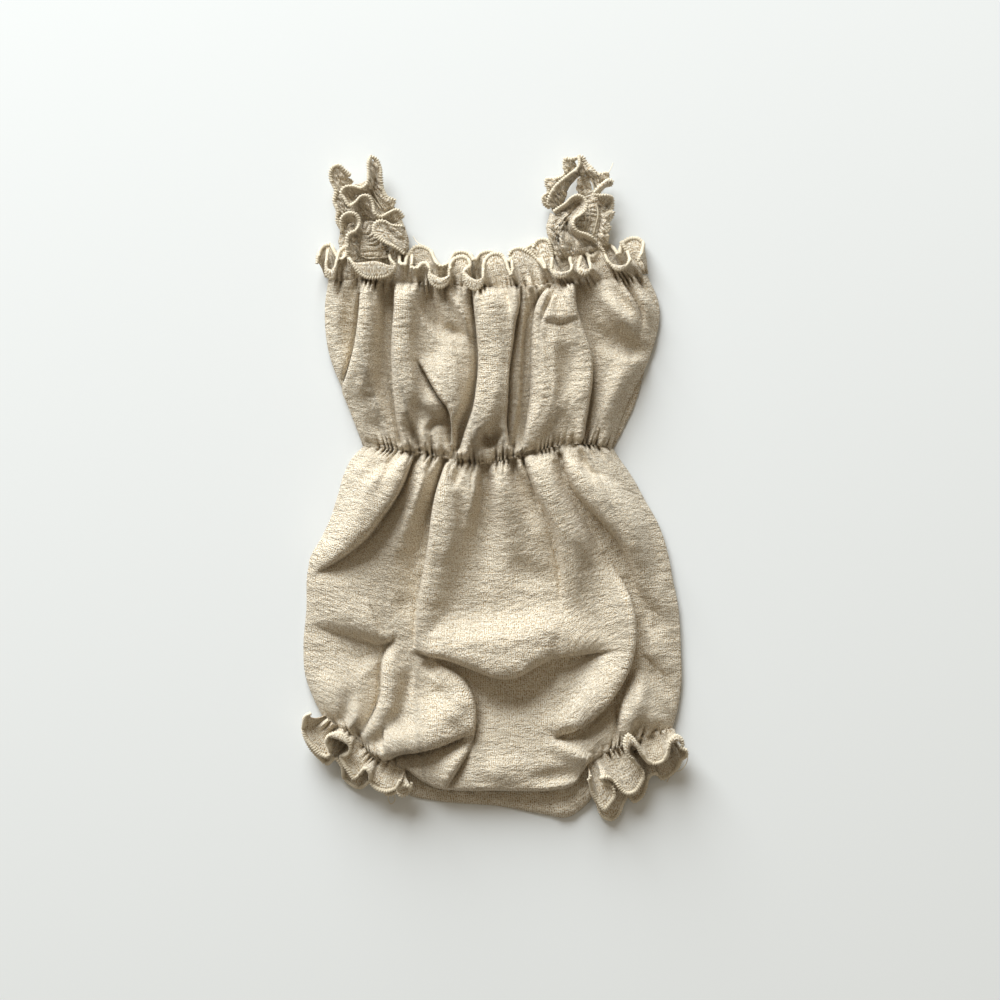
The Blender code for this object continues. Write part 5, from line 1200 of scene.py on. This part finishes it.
# ---- Right strap ----
# The same strip of gauze, shirred along its middle and overlocked at both its edges. It lies as an open loop
# with a little eye at its top.
STRAP_RIGHT = {
    "band": (
        ((52.1, 178.9, 5), (51.5, 175.2, 5), (49.6, 170.8, 5), (49, 166.5, 5), (49.6, 161.5, 5),
         (51.5, 155.9, 6), (52.1, 149.7, 6)),
        ((55.8, 182, 6), (57, 177.6, 7), (57, 173.3, 7.5), (57, 167.7, 7.5), (55.8, 161.5, 7.5),
         (55.2, 155.3, 7.5), (55.2, 149.1, 7)),
        ((60.1, 183.8, 8), (60.8, 178.9, 9), (60.8, 173.9, 9.5), (61.1, 168.3, 9.5), (60.1, 162.1, 9.5),
         (58.9, 155.9, 9.5), (58.9, 149.7, 9)),
        ((64.5, 184.4, 7), (64.5, 178.9, 8), (64.5, 173.9, 8.5), (65.1, 168.3, 8.5), (64.5, 162.1, 8.5),
         (63.2, 155.9, 8.5), (63.2, 149.7, 8)),
    ),
    "curl": (
        ((34.7, 170.2, 5.4), (33.5, 165.8, 5.4), (32.2, 160.9, 5.4), (32.9, 157.2, 5.4), (34.1, 154.1, 5.4),
         (35.3, 150.3, 5.4), (36, 146, 5.4), (41.5, 142.3, 5.4), (50.2, 141.7, 5.4), (58.9, 143.5, 6.1),
         (64.5, 147.9, 6.8)),
        ((36, 169.6, 10.3), (36, 166.5, 11), (36, 161.5, 11.7), (36.6, 158.4, 11.7), (37.8, 155.3, 11.7),
         (39.1, 151.6, 11), (40.3, 147.9, 10.3), (44.6, 146, 10.3), (52.1, 146, 10.3), (58.9, 147.2, 10.3),
         (63.9, 149.7, 9.6)),
        ((37.2, 168.9, 12.4), (40.3, 168.9, 12.4), (43.4, 169.6, 12.4), (44.6, 168.9, 13.1),
         (43.4, 167.1, 13.1), (40.9, 163.4, 13.1), (40.3, 159, 13.1), (42.8, 154.7, 12.4),
         (48.4, 151.6, 11.7), (55.2, 150.3, 11), (62.6, 151, 10.3)),
        ((37.8, 169.6, 11.7), (42.2, 171.4, 11), (45.9, 174.5, 11), (50.2, 177, 10.3), (52.7, 175.8, 10.3),
         (50.8, 172.7, 11), (46.5, 169.6, 11), (44.6, 165.2, 11), (45.3, 160.3, 11), (50.2, 156.6, 11),
         (61.4, 152.2, 10.3)),
        ((36, 171.1, 13.1), (40.3, 173.9, 14.5), (44, 176.4, 15.9), (47.1, 179.5, 17.3), (50.8, 181.3, 18),
         (54.6, 180.1, 18), (57, 176.4, 18), (56.7, 172.7, 18), (53.3, 169.3, 18), (49.3, 166.5, 18),
         (48.7, 162.8, 18), (50.8, 159.3, 18), (56.4, 157.2, 17.3), (60.8, 154.7, 15.9), (62.6, 152.2, 13.8)),
    ),
    "upper_left": (
        ((36, 170.8, 6.1), (41.5, 175.2, 6.8), (43.7, 180.1, 7.5), (44.6, 184.4, 8.2), (48.4, 190, 8.9),
         (52.1, 193.1, 9.6), (55.2, 192.5, 8.9)),
        ((34.1, 174.5, 10.3), (38.4, 180.7, 11), (41.5, 184.4, 11.7), (45.3, 188.8, 12.4), (49, 192.5, 13.1),
         (52.7, 195.6, 13.1), (55.2, 196.2, 11.7)),
        ((32.9, 175.2, 10.3), (33.5, 180.1, 12.4), (36, 185.1, 13.8), (41.5, 190.7, 15.2), (47.1, 195, 15.9),
         (50.8, 197.8, 15.9), (52.4, 200.6, 15.2), (51.8, 205.8, 13.1)),
    ),
    "outer_left": (
        ((37.8, 173.9, 4.7), (37.2, 180.1, 6.1), (39.7, 185.7, 6.8), (42.8, 189.4, 7.5), (45.9, 193.8, 7.5),
         (48.4, 196.8, 7.5), (50.8, 199.9, 7.5)),
        ((33.5, 174.5, 6.8), (32.2, 181.3, 8.2), (35.3, 187.6, 8.9), (39.1, 190.7, 9.6), (43.4, 195.6, 9.6),
         (45.3, 199.9, 9.6), (49.6, 202.4, 9.6)),
        ((33.5, 173.3, 5.4), (30.4, 175.8, 7.5), (29.8, 180.7, 8.9), (33.5, 183.2, 8.9), (31.6, 187.6, 8.9),
         (31.6, 191.3, 9.6), (36, 191.9, 9.6), (40.9, 192.8, 9.6), (44.6, 196.2, 9.6), (42.8, 199.9, 10.3),
         (43.1, 204, 11), (47.1, 204, 11), (51.5, 204.9, 10.3)),
    ),
    "inner": (
        ((51.5, 191.9, 5.4), (50.8, 187.6, 5.4), (51.5, 182.6, 5.4), (54.6, 178.9, 6.1), (57.7, 177, 6.8)),
        ((54.6, 193.1, 6.8), (55.2, 188.2, 6.1), (56.4, 183.8, 6.1), (57.7, 180.7, 6.8), (59.5, 178.2, 7.5)),
        ((57.7, 192.5, 6.8), (59.5, 188.2, 6.8), (60.1, 184.4, 6.8), (61.4, 182, 7.5), (62.6, 179.5, 7.5)),
    ),
    "upper_right": (
        ((53, 194.4, 8.2), (55.8, 193.4, 8.2), (58.9, 191.3, 8.2), (61.4, 187.6, 8.2), (62, 182.6, 8.2)),
        ((52.7, 199.9, 11.7), (56.4, 197.5, 11.7), (60.1, 195, 11.7), (63.9, 191.9, 11.7),
         (65.7, 188.2, 10.3)),
        ((51.8, 205.8, 12.4), (54.9, 204.6, 12.4), (56.4, 201.8, 12.4), (60.1, 198.4, 12.4),
         (63.2, 195, 12.4), (66.7, 194.7, 11.7), (69.8, 195.3, 11), (70.1, 191.9, 9.6), (67, 189.4, 8.9)),
    ),
    "finger": (
        ((63.2, 180.7, 10.3), (65.7, 183.8, 11), (68.2, 186.3, 11), (71.3, 186.9, 10.3)),
        ((61.4, 182.6, 14.5), (64.5, 185.1, 15.2), (68.2, 188.2, 15.2), (71.9, 189.4, 13.1)),
        ((61.4, 181.7, 13.1), (63.9, 186.3, 14.5), (67, 188.8, 14.5), (70.1, 191, 13.8), (72.8, 190, 12.4),
         (71.9, 187.2, 11)),
    ),
    "right_side": (
        ((61.4, 180.7, 7.5), (63.9, 176.4, 7.5), (64.5, 172.1, 7.5), (64.5, 166.5, 7.5), (63.9, 160.3, 7.5),
         (63.2, 154.1, 7.5), (63.9, 148.5, 6.8)),
        ((65.1, 178.9, 10.3), (68.2, 176.4, 10.3), (68.2, 172.1, 8.9), (68.2, 167.1, 10.3),
         (67.6, 161.5, 9.6), (67, 155.9, 9.6), (67, 149.7, 7.5)),
        ((61.4, 181.7, 14.5), (65.1, 181.3, 15.2), (69.4, 181.3, 14.5), (72.5, 180.1, 11.7),
         (73.2, 175.8, 9.6), (72.5, 172.1, 8.9), (68.8, 170.2, 9.6), (70.7, 170.8, 11), (73.2, 171.1, 11),
         (71.9, 166.5, 9.6), (67.6, 164.6, 9.6), (70.1, 163.4, 11), (71.3, 160.3, 10.3), (67.6, 158.4, 8.9),
         (70.1, 156.6, 9.6), (69.4, 152.8, 8.2), (66.3, 149.1, 6.8)),
    ),
}
grids = strap_parts(STRAP_RIGHT, pitch=2.7, crumple=0.9, smooth=("finger",))
strap = cloth("strap_right_cloth", *grids.values(), wall=RUFFLE_WALL)
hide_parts("strap_right")
overlock("strap_right_overlock", *(grid for name, grid in grids.items() if name not in ("band", "inner")))

# ---- Elastic and thread ends of the straps ----
# Fine covered elastic, laid along the middle of each strap, shows where the cloth between its stitches has
# parted. Ends of the overlock thread were left uncut.
ELASTIC_RADIUS = 0.4
THREAD_RADIUS = 0.25
ELASTICS = (
    ((-80, 186.3, 11), (-77.5, 182, 9.6), (-74.4, 177.6, 8.9), (-70.7, 172.7, 8.9)),
    ((-76.9, 188.8, 10.3), (-75, 183.2, 9.6), (-72.5, 178.2, 8.9), (-69.4, 173.3, 8.2)),
    ((-67.6, 160.9, 11.7), (-65.7, 155.9, 11.7), (-62.6, 151.6, 12.4)),
    ((-70.7, 160.3, 11.7), (-70.1, 155.9, 12.4)),
    ((62.9, 176.4, 11), (63.9, 169.6, 11.3), (62.6, 163.4, 11), (61.1, 157.2, 11)),
    ((58, 174.5, 10.3), (58.9, 168.3, 10.6), (57, 160.3, 10.3)),
    ((55.8, 170.2, 9.6), (56.4, 164, 9.6), (54.6, 159, 9.9)),
    ((59.5, 191.9, 10.3), (61.4, 186.3, 9.6), (62.6, 180.7, 9.6)),
)
THREAD_ENDS = (
    ((-50.8, 155.6, 6), (-48.4, 152.2, 9), (-44.6, 149.7, 14)),
    ((73.2, 201.2, 8), (71.9, 198.1, 12), (70.4, 195, 15)),
    ((-65.1, -188.8, 8), (-66.3, -193.1, 3), (-64.5, -196.2, 1.5), (-62, -193.8, 2), (-63.2, -189.4, 6)),
    ((104.8, -170.2, 6), (109.1, -174.5, 3), (114.1, -175.8, 2), (118.4, -171.4, 2), (119.7, -166.5, 5)),
    ((107.3, -171.4, 5), (108.5, -178.2, 2), (106.6, -182.6, 1.5)),
)


def strands(name, lines, radius):
    """Round strands along these lines."""
    rings = []
    for line in lines:
        middle = seen(along(line, np.linspace(0, 1, 24)))
        aside, upwards = square_to(middle, np.gradient(middle, axis=0)[:, [1, 0, 2]] * (-1, 1, 0))
        angle = np.linspace(0, 2 * np.pi, 6, endpoint=False)[:, None]
        around = np.cos(angle) * aside[:, None] + np.sin(angle) * upwards[:, None]
        rings.append(middle[:, None] + radius * around)
    return tubes(name, rings)


strands("strap_elastics", ELASTICS, ELASTIC_RADIUS)
strands("thread_ends", THREAD_ENDS, THREAD_RADIUS)
